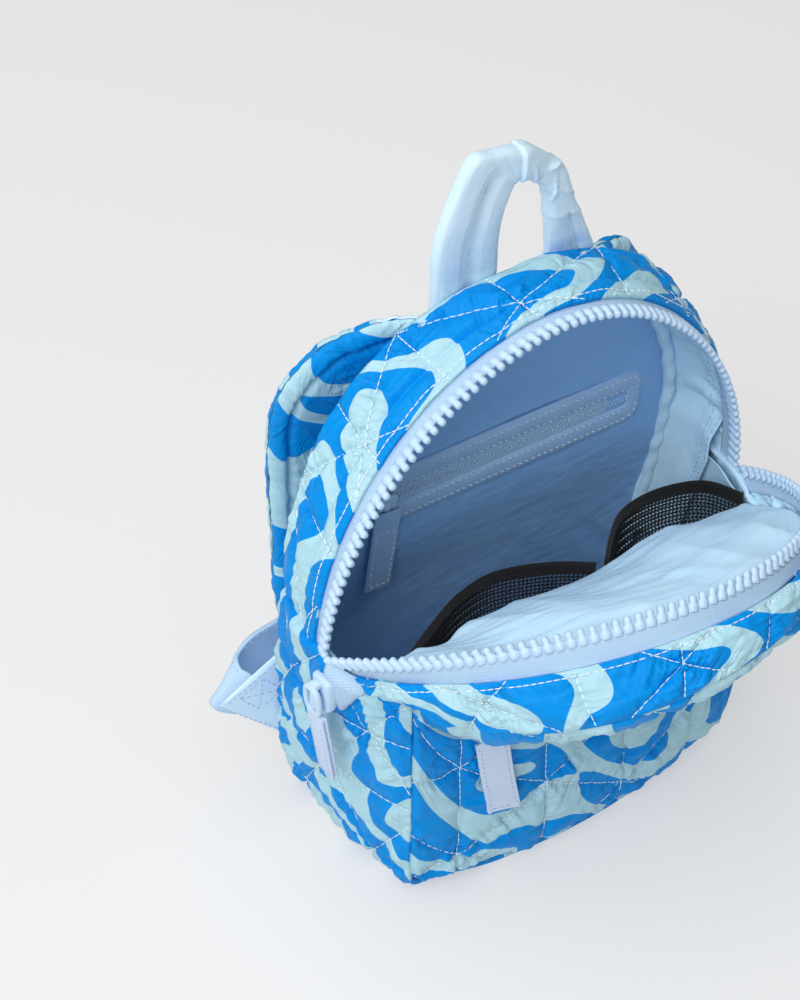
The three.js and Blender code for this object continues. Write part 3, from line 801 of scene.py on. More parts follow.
def lowerFrontPoint(rise, swell, u):
    across = 1 - abs(u) ** frontPanel["sharp"]
    top = seamAcross(0, u).z - (frontPanel["seam"] - frontPanel["fold"]) * across
    z = lerp(frontPanel["foot"], top, rise)
    left, right = seamAt(lowerLeft, "front", z), seamAt(lowerRight, "front", z)
    inset = frontPanel["inset"] + (3 if rise == 0 else 0)
    left.x += inset
    right.x -= inset
    point = left.lerp(right, 0.5 * (1 + u))
    point.y -= swell * (1 - u * u)
    return point


class FrontSheet:
    # up the lower front to the fold, then out along the flap
    def __init__(self):
        self.found = {}
        middle = self.column(0.0)
        self.places, self.length = middle.places, middle.length
        self.foldAt = self.places[len(frontRows)] / self.length

    def column(self, u):
        if u not in self.found:
            points = [lowerFrontPoint(rise, swell, u) for rise, swell in frontRows]
            points += [flapPoint(t, u) for t in flapRows]
            places = self.places if u else None
            self.found[u] = Track(points, places)
        return self.found[u]

    def place(self, s, t):
        return self.column(2 * s - 1).at(t)

    def flat(self, s, t):
        point = self.place(s, t)
        return point.x + 100, t * self.length


def makeFrontPanel():
    sheet = FrontSheet()
    shift = frontPanel["shift"]

    def relief(s, t, u, v):
        width = sheet.place(1, t).x - sheet.place(0, t).x
        edge = min(s * width, (1 - s) * width, v, sheet.length - v)
        fold = abs(t - sheet.foldAt) * sheet.length
        pinch = ease(min(s, 1 - s) / 0.06) * bell(fold, 5)
        return quiltRelief(u + shift[0], v + shift[1], 3.0, edge) * (1 - 0.7 * pinch)

    inside = Vector((0, 30, 160))
    bm = layCloth(frontPanel["columns"], frontPanel["rows"], sheet.place, sheet.flat, relief, inside,
                  shift=shift)
    addQuilted("front_panel", bm, frontPanel)


makeFrontPanel()
print("front panel")


frontGusset = {"start": 0.035, "nearZip": 9.3, "bulge": 2.5, "topstitch": 2.6, "columns": 480, "rows": 54,
               "thick": 2.4, "shift": (20, -9), "gather": 55.0,
               "folds": [(9, 0.3, 2.0), (17, -0.25, 2.6), (27, 0.35, 2.2), (38, -0.1, 1.4)]}


def makeFrontGusset():
    band = Band("zipFlap", "seamFlap", frontGusset["start"], frontGusset["nearZip"], 0, frontGusset["bulge"])
    shift = frontGusset["shift"]

    def relief(s, t, u, v):
        edge = min(v, band.width - v, u, band.walk.length - u)
        row = bell(v - frontGusset["topstitch"], 0.9)
        height = quiltRelief(u + shift[0], v + shift[1], 4.0, edge)
        end = min(u, band.walk.length - u)
        loose = 1 - ease(end / frontGusset["gather"])
        gather = 3.2 * (ridge(u + 0.4 * v, v, 31.0, 13, 40) - 0.55)
        gather += 1.6 * (ridge(u, v, 32.0, 30, 7) - 0.6)
        for at, slant, deep in frontGusset["folds"]:
            gather -= deep * bell(end - at - slant * v, 1.5)
        return height * (1 - 0.5 * loose) + gather * loose * ease(edge / 4) - 0.5 * row

    bm = layCloth(frontGusset["columns"], frontGusset["rows"], band.place, band.flat, relief, flapMiddle,
                  shift=shift)
    addQuilted("front_gusset", bm, frontGusset, [rowAlong(band.walk.length, frontGusset["topstitch"])])


makeFrontGusset()
print("front gusset")


backPanel = {"inset": 0.8, "floor": 3, "crown": 0.8, "columns": 120, "rows": 130, "thick": 4.0,
             "shift": (4, 8)}
backAngles = [0.02, 0.16, 0.32, 0.5, 0.68, 0.86, 1.04, 1.2, 1.34, 1.45]


class BackSheet:
    def __init__(self, inset, lowest, crown):
        lefts, rights = [], []
        for z in (lowest, 20, 50, 92):
            tuck = inset + (3 if z == lowest else 0)
            lefts.append(seamAt(lowerLeft, "back", z) + Vector((tuck, 0, 0)))
            rights.append(seamAt(lowerRight, "back", z) - Vector((tuck, 0, 0)))
        for phi in backAngles:
            drop = Vector((0, 0, crown * sin(phi)))
            aside = Vector((inset * cos(phi), 0, 0))
            lefts.append(archPoint("back", phi) + aside - drop)
            rights.append(archPoint("back", pi - phi) - aside - drop)
        heights = [p.z for p in lefts]
        bows = [2.0] * 4 + [2 * cos(phi) for phi in backAngles]
        places = [z - heights[0] for z in heights]
        for i in range(1, len(places)):
            places[i] = max(places[i], places[i - 1] + 2)
        self.left, self.right = Track(lefts, places), Track(rights, places)
        self.bow = Track(bows, places)
        self.length = places[-1]

    def place(self, s, t):
        point = self.left.at(t).lerp(self.right.at(t), s)
        point.y += self.bow.at(t) * (1 - (2 * s - 1) ** 2)
        return point

    def flat(self, s, t):
        return self.place(s, t).x + 120, t * self.length


def makeBackPanel():
    sheet = BackSheet(backPanel["inset"], backPanel["floor"], backPanel["crown"])
    shift = backPanel["shift"]

    def relief(s, t, u, v):
        width = sheet.place(1, t).x - sheet.place(0, t).x
        edge = min(s * width, (1 - s) * width, v, sheet.length - v)
        return quiltRelief(u + shift[0], v + shift[1], 5.0, edge)

    bm = layCloth(backPanel["columns"], backPanel["rows"], sheet.place, sheet.flat, relief, shift=shift)
    addQuilted("back_panel", bm, backPanel)


makeBackPanel()
print("back panel")


backLining = {"inset": 7, "floor": 6, "crown": 7, "inward": 7.6, "columns": 100, "rows": 110}
linings = {"thick": 0.6, "gussetIn": 5.4, "lowIn": 9.4, "billow": 8.5, "drop": 58.0, "dropFrom": 127.0,
           "start": 0.03, "nearZip": 11.0, "nearSeam": 2, "bulge": 2, "columns": 380, "rows": 40,
           "seamRows": (1.4, 5.6)}


def makeBackLining():
    sheet = BackSheet(backLining["inset"], backLining["floor"], backLining["crown"])

    def relief(s, t, u, v):
        wide = 0.9 * ripple(u, v, 41.0, 60, 45) + 0.3 * ripple(u, v, 42.0, 18, 9)
        slant = 1.8 * ease((u - 120) / 60) * ease((110 - v) / 60) * ridge(u + 0.8 * v, v, 43.0, 14, 160)
        return -backLining["inward"] + (wide - slant) * ease(min(s, 1 - s) / 0.08)

    bm = layCloth(backLining["columns"], backLining["rows"], sheet.place, sheet.flat, relief)
    bmesh.ops.reverse_faces(bm, faces=bm.faces)
    # the back lining takes the darker copy of the lining cloth, which is painted shade
    piece = addPiece("back_lining_cloth", bm, ("shadedLining",), ["back_lining"])
    thicken(piece, linings["thick"])


class HungBand(Band):
    # a band that also hangs down both sides below the zip's ends
    def __init__(self, *sizes):
        self.length = ArchWalk(sizes[0], sizes[2], pi - sizes[2]).length + 2 * linings["drop"]
        super().__init__(*sizes)

    def across(self, s):
        up, over = s * self.length - linings["drop"], (1 - s) * self.length - linings["drop"]
        if min(up, over) > 0:
            return super().across(up / self.walk.length)
        side, below = (lowerLeft, up) if up <= 0 else (lowerRight, over)
        z = linings["dropFrom"] + below
        tape, seam = seamAt(side, "mid", z), seamAt(side, "back", z)
        return tape, seam, (seam - tape).length

    def flat(self, s, t):
        return s * self.length, t * self.width


def makeGussetLining():
    sizes = [linings[key] for key in ("start", "nearZip", "nearSeam", "bulge")]
    band = HungBand("zipRear", "back", *sizes)

    def relief(s, t, u, v):
        rise = min(u, band.length - u) - linings["drop"]
        low = 1 - ease((rise - 6) / 14)
        gather = 1.9 * (ridge(u, v, 51.0, 10, 70) - 0.5)
        gather *= ease(t / 0.15) * (1 - ease((t - 0.25) / 0.5)) * (1 - low)
        slack = 1.6 * ripple(u, v, 52.0, 34, 24) + 1.5 * (ridge(u + 0.8 * v, v, 53.0, 38, 60) - 0.6)
        hang = lerp(lerp(2.7, linings["gussetIn"], ease(t / 0.3)), linings["lowIn"], low)
        hang += linings["billow"] * ease((t - 0.3) / 0.7)
        return gather + slack * ease(min(t, 1 - t) / 0.2) - hang

    bm = layCloth(linings["columns"], linings["rows"], band.place, band.flat, relief)
    bmesh.ops.reverse_faces(bm, faces=bm.faces)
    sewing = SewingMap(bm)
    seams = bmesh.new()
    for row in linings["seamRows"]:
        sewAlong(seams, sewing, rowAlong(band.length, row), 3.0, 2.2, 0.25, 0.12)
    piece = addPiece("gusset_lining_cloth", bm, ("lining",), ["gusset_lining"])
    thicken(piece, linings["thick"])
    band.width * mm
    addPiece("gusset_lining_stitches", seams, ("paleThread",))


flapLining = {"rows": [(0, 0), (0.25, 4), (0.5, 6), (0.75, 5), (0.93, 2)], "drops": [0, 6, 30, 54],
              "columns": 170, "steps": 110}


def liningPoint(ahead, lift, k):
    phi = lerp(0.28, pi - 0.36, k)
    front = archPoint("zipFlap", phi).lerp(archPoint("seamFlap", phi), 0.36)
    front += (flapMiddle - front).normalized() * 3.1
    crest = Vector((lerp(-84, 93, k), -31.5, 126 - 3 * cos(4 * pi * k) + 4 * bell(k, 0.12)))
    point = front.lerp(crest, ahead)
    point.z += lift * sin(pi * k)
    return point


class LiningSheet:
    # from the flap's zip over a crest and down behind the lower front
    def __init__(self):
        self.found = {}
        middle = self.column(0.5)
        self.places, self.length = middle.places, middle.length

    def column(self, k):
        if k not in self.found:
            points = [liningPoint(ahead, lift, k) for ahead, lift in flapLining["rows"]]
            for drop in flapLining["drops"]:
                point = liningPoint(1, 0, k)
                low = drop >= 10
                points.append(Vector((point.x * (0.93 if low else 1), point.y - 3.5 * low, point.z - drop)))
            self.found[k] = Track(points)
        return self.found[k]

    def place(self, s, t):
        return self.column(s).at(t)

    def flat(self, s, t):
        return self.place(s, t).x + 110, t * self.length


def makeFlapLining():
    sheet = LiningSheet()

    def relief(s, t, u, v):
        long = 2.2 * ridge(u + 0.25 * v, v, 61.0, 26, 90) + 1.4 * ripple(u, v, 62.0, 34, 22)
        fine = 0.7 * ridge(u, v + 0.3 * u, 63.0, 40, 12)
        hold = ease(min(t / 0.16, s / 0.07, (1 - s) / 0.07)) * (1 - 0.75 * ease((t - 0.55) / 0.1))
        return (long + fine - 1.6) * hold

    inside = Vector((2, -60, 40))
    bm = layCloth(flapLining["columns"], flapLining["steps"], sheet.place, sheet.flat, relief, inside)
    piece = addPiece("flap_lining_cloth", bm, ("lining",), ["flap_lining"])
    thicken(piece, 0.8)


binding = {"radius": 2.7, "twist": 0.5, "inward": 14.5, "columns": 420, "rows": 14}


def makeSeamBinding():
    points = [Vector(lowerLeft[k]["back"]) + Vector((14, -9.5, 0)) for k in (3, 2, 1)]
    for i in range(1, 16):
        point = archPoint("back", pi * i / 16)
        pull = (Vector((3, point.y, 150)) - point).normalized()
        points.append(point + pull * binding["inward"] + Vector((0, -8.8, 0)))
    points += [Vector(lowerRight[k]["back"]) + Vector((-14, -9.5, 0)) for k in (1, 2, 3)]
    track = Track(points)

    def place(s, t):
        run = track.heading(s)
        side = run.cross(Vector((0, 1, 0))).normalized()
        up = side.cross(run)
        turn = 2 * pi * t
        cord = 1 + 0.13 * sin(turn + binding["twist"] * s * track.length)
        cord += 0.22 * ripple(s * track.length, 8 * cos(turn), 71.0, 6, 9)
        return track.at(s) + (side * cos(turn) + up * sin(turn)) * (binding["radius"] * cord)

    def flat(s, t):
        return s * track.length, t * 12.5

    bm = layCloth(binding["columns"], binding["rows"], place, flat, smooth, wrap=True)
    closeTube(bm)
    addPiece("seam_binding_cord", bm, ("lining",), ["seam_binding"])


def closeTube(bm):
    bmesh.ops.remove_doubles(bm, verts=bm.verts, dist=0.002)
    rims = [edge for edge in bm.edges if edge.is_boundary]
    bmesh.ops.holes_fill(bm, edges=rims, sides=0)
    bmesh.ops.recalc_face_normals(bm, faces=bm.faces)


makeBackLining()
makeGussetLining()
makeFlapLining()
makeSeamBinding()
print("linings")


meshPockets = {
    "left": [(-76, -30.4), (-62, -23), (-44, -15), (-26, -12), (-10, -16), (4, -23), (14, -30.3)],
    "right": [(20, -30.3), (30, -20.5), (43, -11), (58, -8), (74, -10), (86, -16), (93, -30)],
}
meshSizes = {"top": 124.0, "foot": 72.0, "footY": -30.5, "pitch": 1.75, "wire": 1.05, "bind": 6.4}


def makeMeshPocket(side):
    track = Track([Vector((x, y, 0)) for x, y in meshPockets[side]])
    top, foot = meshSizes["top"] - 1.5, meshSizes["foot"]
    columns, rows = int(track.length / meshSizes["pitch"]), int((top - foot) / meshSizes["pitch"])

    def place(s, t):
        row = round(t * rows)
        edge = track.at(clamp(s + (0.5 / columns if row % 2 else 0)))
        y = lerp(edge.y, meshSizes["footY"], (1 - t) ** 2) + 0.5 * ripple(edge.x, 60 * t, 81.0, 20, 20)
        return Vector((edge.x, y + 0.4, lerp(foot, top, t)))

    def flat(s, t):
        return s * track.length, t * (top - foot)

    bm = layCloth(columns, rows, place, flat, smooth, Vector((0, 60, 100)))
    net = addPiece("mesh_pocket_" + side + "_net", bm, ("net",), ["mesh_pocket_" + side])
    wire = net.modifiers.new("threads", "WIREFRAME")
    wire.thickness = meshSizes["wire"] * mm
    wire.use_even_offset = False
    wire.use_boundary = True

    def bound(s, t):
        turn = 2 * pi * t
        edge, run = track.at(s), track.heading(s)
        out = Vector((-run.y, run.x, 0))
        rise = 0.5 * meshSizes["bind"] * signedPower(cos(turn), 0.5)
        return edge + out * (0.45 + 0.95 * sin(turn)) + Vector((0, 0, meshSizes["top"] + rise))

    def around(s, t):
        return s * track.length, t * 2.2 * meshSizes["bind"]

    bm = layCloth(110, 16, bound, around, smooth, wrap=True)
    closeTube(bm)
    addPiece("mesh_binding_" + side + "_tape", bm, ("elastic",), ["mesh_binding_" + side])


for side in meshPockets:
    makeMeshPocket(side)
print("mesh pockets")


zipSizes = {"pitch": 4.3, "tape": 1.0, "from": 2.6, "to": 11.0, "lift": 1.5}
# tooth sections from the tape to the tip: place across, width along the zip, height
toothSections = [(5.9, 3.3, 1.9), (5.4, 3.8, 2.8), (2.9, 3.8, 3.0), (2.4, 2.2, 2.8), (1.4, 2.9, 3.0),
                 (0.1, 2.7, 2.8), (-0.5, 1.6, 1.9)]


def toothShape(bm, axes):
    level = Matrix.Rotation(pi / 8, 4, "Z")
    made = bmesh.ops.create_circle(bm, cap_ends=True, radius=1, segments=8, matrix=level)
    body = list(made["verts"])
    tip = body[0].link_faces[0]
    for k in range(1, len(toothSections)):
        tip = bmesh.ops.extrude_discrete_faces(bm, faces=[tip])["faces"][0]
        for vertex in tip.verts:
            vertex.co.z = k
        body += list(tip.verts)
    for vertex in body:  # an eight-sided ring for each section
        across, wide, high = toothSections[round(vertex.co.z)]
        x, y = clamp(1.2 * vertex.co.x, -1, 1), clamp(1.2 * vertex.co.y, -1, 1)
        vertex.co = (0.5 * wide * x, 0.5 * high * y, across)
    bmesh.ops.transform(bm, matrix=axes, verts=body)


def makeZip(name, zipArch, seamArch, inside, start, raised):
    walk = ArchWalk(zipArch, start, pi - start)

    def axesAt(k):
        phi = walk.at(k)
        line = archPoint(zipArch, phi)
        run = (archPoint(zipArch, phi + 0.01) - archPoint(zipArch, phi - 0.01)).normalized()
        over = (archPoint(seamArch, phi) - line).normalized()
        up = over.cross(run).normalized()
        if up.dot(inside - line) < 0:
            up.negate()
        return line + up * zipSizes["lift"] - over * raised, run, over, up

    def place(s, t):
        line, run, over, up = axesAt(s)
        return line + over * lerp(zipSizes["from"], zipSizes["to"] + raised, t) + up * 0.5 * zipSizes["tape"]

    def flat(s, t):
        return s * walk.length, t * (zipSizes["to"] + raised - zipSizes["from"])

    bm = layCloth(260, 8, place, flat, lambda s, t, u, v: 0.12 * ripple(u, v, 91.0, 12, 6), inside)
    bmesh.ops.reverse_faces(bm, faces=bm.faces)
    tape = addPiece(name + "_tape", bm, ("tape",), [name])
    thicken(tape, zipSizes["tape"])
    teeth = bmesh.new()
    count = int(walk.length / zipSizes["pitch"])
    for i in range(count):
        line, run, over, up = axesAt((i + 0.5) / count)
        side = up.cross(over)
        axes = Matrix((side, up, over)).transposed().to_4x4()
        toothShape(teeth, Matrix.Translation(line) @ axes)
    bmesh.ops.recalc_face_normals(teeth, faces=teeth.faces)
    addPiece(name + "_teeth", teeth, ("plastic",))


# down the side from the zip's end: depth below the top, and the two edges across the lower gusset
tapeTail = {"rows": [(0.0, 0.48, 0.17), (7.0, 0.45, 0.245), (15.0, 0.41, 0.28), (23.0, 0.375, 0.3)],
            "rise": 3.4, "columns": 40, "across": 16}


def makeTapeTail():
    strip = LowerStrip()
    rows = Track([Vector(row) for row in tapeTail["rows"]], [0.0, 1.0, 2.0, 3.0])

    def place(s, t):
        depth, outer, inner = rows.at(s)
        depth -= 4 * ease((s - 0.5) / 0.5) * (2 * t - 1) ** 2
        return strip.place(depth / strip.length, lerp(outer, inner, t))

    def flat(s, t):
        return 22 * s, 9 * t

    def relief(s, t, u, v):
        return tapeTail["rise"] - 1.6 * (2 * t - 1) ** 4 - 1.2 * ease((s - 0.7) / 0.3)

    bm = layCloth(tapeTail["columns"], tapeTail["across"], place, flat, relief)
    tail = addPiece("zip_front_tail", bm, ("tape",))
    thicken(tail, zipSizes["tape"])


makeTapeTail()
makeZip("zip_rear", "zipRear", "back", Vector((1, 4, 140)), 0.02, 0)
makeZip("zip_front", "zipFlap", "seamFlap", flapMiddle, 0.04, 3)
print("zips")


handleEdges = [  # outer edge and inner edge in x and z, half thickness
    ((-31.5, 228.5), (-2.5, 228.5), 3), ((-30.6, 244), (-1, 243), 4), ((-30.1, 262), (-1, 258), 4.4),
    ((-23.5, 281), (0.4, 268.5), 4.6), ((-15.2, 295.6), (3.6, 277.4), 4.6), ((-5, 295.6), (5, 279.6), 4.8),
    ((5.4, 294.4), (6.2, 280.4), 4.8), ((12, 292.4), (9.2, 280), 4.6), ((20.8, 286.5), (15.3, 275.5), 4.6),
    ((28.3, 279.2), (21, 268.5), 4.6), ((34, 264.6), (22.2, 259), 4.5), ((40.5, 250.8), (23.2, 248.5), 4.2),
    ((46.6, 237), (23.6, 237.5), 3.8), ((47.6, 228.5), (23.6, 228.5), 3),
]
strapEdges = [  # outer edge, inner edge, half thickness
    ((-36.5, 27.5, 233), (-32, 29.2, 213), 3), ((-45, 33, 232.5), (-36, 34, 206), 4),
    ((-59, 38, 229.5), (-40.5, 38.5, 199), 4.5), ((-70, 42, 225), (-43.5, 42.5, 192), 5),
    ((-82, 47, 211.5), (-46, 47.5, 184), 5), ((-87, 50, 199.5), (-47, 50.5, 177), 5),
    ((-88.5, 53, 185), (-47.5, 53.5, 168), 5), ((-87.5, 55.5, 160), (-47.5, 56, 152), 5),
    ((-86.5, 56.5, 140), (-47.5, 57, 137), 5), ((-85, 57.2, 118), (-47.5, 57.7, 117), 5),
    ((-84.5, 57.6, 98), (-48, 58, 98), 5), ((-83, 57.6, 82), (-48, 58, 82), 3.5),
]


def edgePath(edges):
    stations = []
    for outer, inner, thick in edges:
        outer, inner = Vector(outer), Vector(inner)
        across = inner - outer
        stations.append((outer.lerp(inner, 0.5), across.normalized(), across.length / 2, thick))
    return stations


handlePath = edgePath([((a[0], 28, a[1]), (b[0], 28, b[1]), thick) for a, b, thick in handleEdges])
strapPath = edgePath(strapEdges)
webPath = [  # middle, direction across, half width and half thickness
    ((-65, 57.7, 81.6), (1, 0.02, 0), 12, 0.9), ((-67, 58, 73.5), (0.87, 0.02, -0.5), 11, 0.9),
    ((-72.5, 58.6, 68), (0.5, 0, -0.87), 10.5, 0.9), ((-80, 59, 66), (0.05, 0, -1), 10, 0.9),
    ((-94, 58.5, 64), (0, 0, -1), 10, 0.9), ((-106, 56.5, 62), (-0.35, 0.02, -0.93), 10, 0.9),
    ((-112.5, 52, 62.5), (-0.57, 0.05, -0.82), 10, 0.9), ((-112, 47.6, 60.5), (-0.6, 0.15, -0.78), 10, 0.9),
    ((-104.5, 44.8, 55.5), (-0.15, 0.11, -0.98), 16, 0.9), ((-95.7, 42.2, 50), (0.09, 0.1, -0.99), 22.5, 0.9),
]


class Loop:
    # a flat padded tube: s along the stations, t round the section
    def __init__(self, path, flip=1, shift=0, drop=0):
        last = len(path) - 1
        steps = [float(k) for k in range(len(path))]
        middles = []
        for k, (at, across, half, thick) in enumerate(path):
            middles.append(Vector((flip * at[0] + shift, at[1], at[2] - drop * (1 - k / last))))
        self.middle = Track(middles, steps)
        self.across = Track([Vector((flip * a[0], a[1], a[2])) for at, a, h, k in path], steps)
        self.half = Track([half for at, a, half, k in path], steps)
        self.thick = Track([thick for at, a, h, thick in path], steps)
        self.length = sum((b - a).length for a, b in zip(middles, middles[1:]))
        self.found = {}

    def axes(self, s):
        if s not in self.found:
            run, side = self.middle.heading(s), self.across.at(s).normalized()
            face = run.cross(side).normalized()
            self.found[s] = self.middle.at(s), side, face, self.half.at(s), self.thick.at(s)
        return self.found[s]


handle = {"columns": 230, "rows": 80, "width": 34.0}
# sharp creases over the crushed top: place along, slant, depth, width, and where across and how far
handleFolds = [(0.545, 0.05, 1.5, 1.1, 0.6, 0.6), (0.61, -0.05, 1.7, 1.2, -0.4, 0.7),
               (0.665, 0.05, 1.5, 1.0, 0.4, 0.7), (0.72, -0.04, 1.5, 1.2, -0.3, 0.8),
               (0.79, -0.02, 0.8, 1.2, 0, 2)]


def makeHandle():
    loop = Loop(handlePath)

    def section(t):
        turn = 2 * pi * t
        return signedPower(cos(turn), 0.5), 0.92 * signedPower(sin(turn), 0.55)

    def place(s, t):
        middle, side, face, half, thick = loop.axes(s)
        w, h = section(t)
        left, right = ease((0.4 - s) / 0.14), ease((s - 0.76) / 0.06)  # sewn lines down both legs
        h *= 1 - 0.78 * left * bell(w - 0.05, 0.12) - 0.78 * right * bell(w + 0.2, 0.12)
        return middle + side * (w * half) + face * (h * thick)

    def flat(s, t):
        return s * loop.length, abs(2 * t - 1) * handle["width"]

    def relief(s, t, u, v):
        w, h = section(t)
        swell = -1.9 * ease((s - 0.462) / 0.012) * (1 - ease((s - 0.49) / 0.12))  # slips under the left part
        fold = 0.0
        for at, slant, depth, wide, centre, spread in handleFolds:
            fold -= depth * exp(-abs((s - at - slant * w) * loop.length) / wide) * bell(w - centre, spread)
        crush = bell(s - 0.62, 0.12) * (0.8 * ripple(u + 0.4 * v, v, 101.0, 9, 16))
        soft = 0.4 * ripple(u, v, 102.0, 17, 9) + 0.2 * ridge(u, v, 103.0, 7, 30)
        return (swell + fold + crush + soft) * ease(min(s, 1 - s) / 0.05) * (0.3 + 0.7 * abs(h))

    bm = layCloth(handle["columns"], handle["rows"], place, flat, relief, wrap=True)
    closeTube(bm)
    seams = bmesh.new()
    for start, stop, across in ((0.1, 0.3, 0.05), (0.82, 0.93, -0.2)):
        steps = int((stop - start) * loop.length / 3.1)
        for i in range(steps):
            for facing in (1, -1):
                ends = []
                for k in (i, i + 0.85):
                    middle, side, face, half, thick = loop.axes(lerp(start, stop, k / steps))
                    deep = 0.22 * thick + 0.5
                    ends.append((middle + side * (across * half) + face * (deep * facing), face * facing))
                sewStitch(seams, *ends, 0.24, 0.1)
    piece = addPiece("top_handle_cloth", bm, ("plain",), ["top_handle"])
    addPiece("top_handle_stitches", seams, ("paleThread",))


straps = {"rim": 8.0, "columns": 220, "rows": 120}


def makeStrap(side, flip, shift, drop):
    loop = Loop(strapPath, flip, shift, drop)

    def place(s, t):
        middle, across, face, half, thick = loop.axes(s)
        turn = 2 * pi * t
        w, h = signedPower(cos(turn), 0.55), signedPower(sin(turn), 0.7)
        rim = 1 - straps["rim"] / half
        h *= 1 - 0.5 * bell((abs(w) - rim) * half, 1.6) + 0.16 * bell((abs(w) - 0.5 * (1 + rim)) * half, 3)
        return middle + across * (w * half) + face * (h * thick)

    def flat(s, t):
        w = signedPower(cos(2 * pi * t), 0.55)
        return w * 20 + (0 if t < 0.5 else 70), s * loop.length

    def relief(s, t, u, v):
        hold = ease(min(s, 1 - s) / 0.06)
        gather = 0.45 * ripple(u, v, 113.0, 9, 2.6)
        wide = 0.6 * ripple(u, v, 111.0, 18, 6) + 0.5 * ridge(u, v, 112.0, 30, 9)
        return (wide - 0.35 + gather) * hold

    bm = layCloth(straps["columns"], straps["rows"], place, flat, relief, wrap=True)
    layer = bm.loops.layers.uv.active
    for face in bm.faces:
        corner = face.loops[0][layer].uv
        rear = (min(loop[layer].uv.x for loop in face.loops) > 0.35) == (flip > 0)
        face.material_index = 1 if rear and corner.y < 0.2 else 0
    closeTube(bm)
    name = "shoulder_strap_" + side
    piece = addPiece(name + "_cloth", bm, ("print", "plain"), [name])


webEnd = 0.85  # how far the webbing runs before it stops inside the tab
sideTab = {"upper": (-90.5, 38, 83), "lower": (-87, 43, 22), "apex": (-118.4, 48.8, 52.6), "half": 1.2,
           "box": [(8, 4), (22, 4), (22, 17), (8, 17)]}  # the crossed box's corners, from the tip


def makeWeb(side, flip, shift):
    loop = Loop(webPath, flip, shift)

    def place(s, t):
        middle, across, face, half, thick = loop.axes(s * webEnd)
        return middle + across * lerp(-min(half, 10), min(half, 10) + 2.4, t) + face * 0.9

    def flat(s, t):
        return s * webEnd * loop.length, t * 20

    bm = layCloth(150, 20, place, flat, lambda s, t, u, v: 0.12 * ripple(u, v, 121.0, 14, 8), wrap=True)
    sewing = SewingMap(bm)
    seams = bmesh.new()
    for across in (1.6, 18.4):
        for lift in (0.12, -1.92):
            sewAlong(seams, sewing, [(2, across), (webEnd * loop.length - 6, across)], *fineStitch, lift)
    name = "strap_web_" + side
    piece = addPiece(name + "_band", bm, ("webbing",), [name])
    thicken(piece, 1.8)
    makeSideTab(side, flip, shift, seams)
    addPiece(name + "_stitches", seams, ("paleThread",))


def makeSideTab(side, flip, shift, seams):
    # a folded three-cornered tab in the side seam, which takes the end of the webbing
    upper, lower, apex = (Vector((flip * sideTab[key][0] + shift, *sideTab[key][1:]))
                          for key in ("upper", "lower", "apex"))
    front = (apex - upper).cross(lower - upper).normalized()
    if front.y > 0:
        front.negate()
    rise = (upper - lower).normalized()
    reach = (apex - lower) - rise * (apex - lower).dot(rise)
    reach.normalize()

    def spot(s, t):
        k = 1 - abs(2 * t - 1)
        return lower.lerp(apex, s).lerp(upper.lerp(apex, s), k), k

    def place(s, t):
        base, k = spot(0.99 * s, t)
        turn = clamp((0.5 - t) / 0.05, -1, 1)
        thick = sideTab["half"] * (0.4 + 0.6 * ease(k / 0.1)) * (1 - 0.5 * s ** 6)
        return base + front * (thick * sin(turn * pi / 2))

    def flat(s, t):
        base, k = spot(s, t)
        return (base - lower).dot(reach) + (0 if t <= 0.5 else 60), (base - lower).dot(rise)

    def relief(s, t, u, v):
        return 0.3 * ripple(u, v, 125.0, 12, 9) * (1 - s)

    bm = layCloth(40, 80, place, flat, relief, wrap=True)
    if sum(v.normal.dot(front) * (1 if v.co.dot(front) > upper.dot(front) else -1) for v in bm.verts) < 0:
        bmesh.ops.reverse_faces(bm, faces=bm.faces)
    sewing = SewingMap(bm)
    inner, tip = (Vector(flat(s, 0.49)) for s in (0, 1))  # the folded edge
    along = (inner - tip).normalized()
    inward = Vector((-along.y, along.x))
    if inward.dot(Vector(flat(0, 0)) - tip) < 0:
        inward.negate()
    corners = [tip + along * a + inward * b for a, b in sideTab["box"]]
    lines = list(zip(corners, corners[1:] + corners[:1]))
    lines += [(corners[0], corners[2]), (corners[1], corners[3])]
    lines += [(Vector(flat(0.05, 0.02)), Vector(flat(0.9, 0.02)))]
    lines += [(tip + along * 3 + inward * 2, inner + inward * 2 - along * 3)]
    for a, b in lines:
        sewAlong(seams, sewing, [tuple(a), tuple(b)], *fineStitch, 0.1)
    addPiece("side_tab_" + side + "_cloth", bm, ("plain",))


makeHandle()
makeStrap("left", 1, 0, 0)
makeStrap("right", -1, 6, 5)
makeWeb("left", 1, 0)
makeWeb("right", -1, 4)
print("handle and straps")


def turned(at, turn):
    place = Matrix.Translation(at)
    for axis, angle in zip("XYZ", turn):
        place = place @ Matrix.Rotation(angle, 4, axis)
    return place


def sewOutline(bm, outline, pitch, share, spot, thick):
    # stitches along straight lines: spot gives a point and the direction out of the leather
    for a, b in zip(outline, outline[1:]):
        steps = int(max(abs(b[0] - a[0]), abs(b[1] - a[1])) / pitch)
        for i in range(steps):
            ends = [spot(lerp(a[0], b[0], k), lerp(a[1], b[1], k)) for k in (i / steps, (i + share) / steps)]
            sewStitch(bm, *ends, thick, 0.05)


def roundedBlock(bm, size, at, turn=(0, 0, 0), bevel=0.8, segments=3):
    part = bmesh.new()
    bmesh.ops.create_cube(part, size=1, matrix=Matrix.Diagonal((*size, 1)))
    bmesh.ops.bevel(part, geom=part.edges[:], offset=bevel, affect="EDGES", segments=segments, profile=0.5,
                    material=-1)
    bmesh.ops.transform(part, matrix=turned(at, turn), verts=part.verts)
    mesh = bpy.data.meshes.new("part")
    part.to_mesh(mesh)
    part.free()
    bm.from_mesh(mesh)
    bpy.data.meshes.remove(mesh)


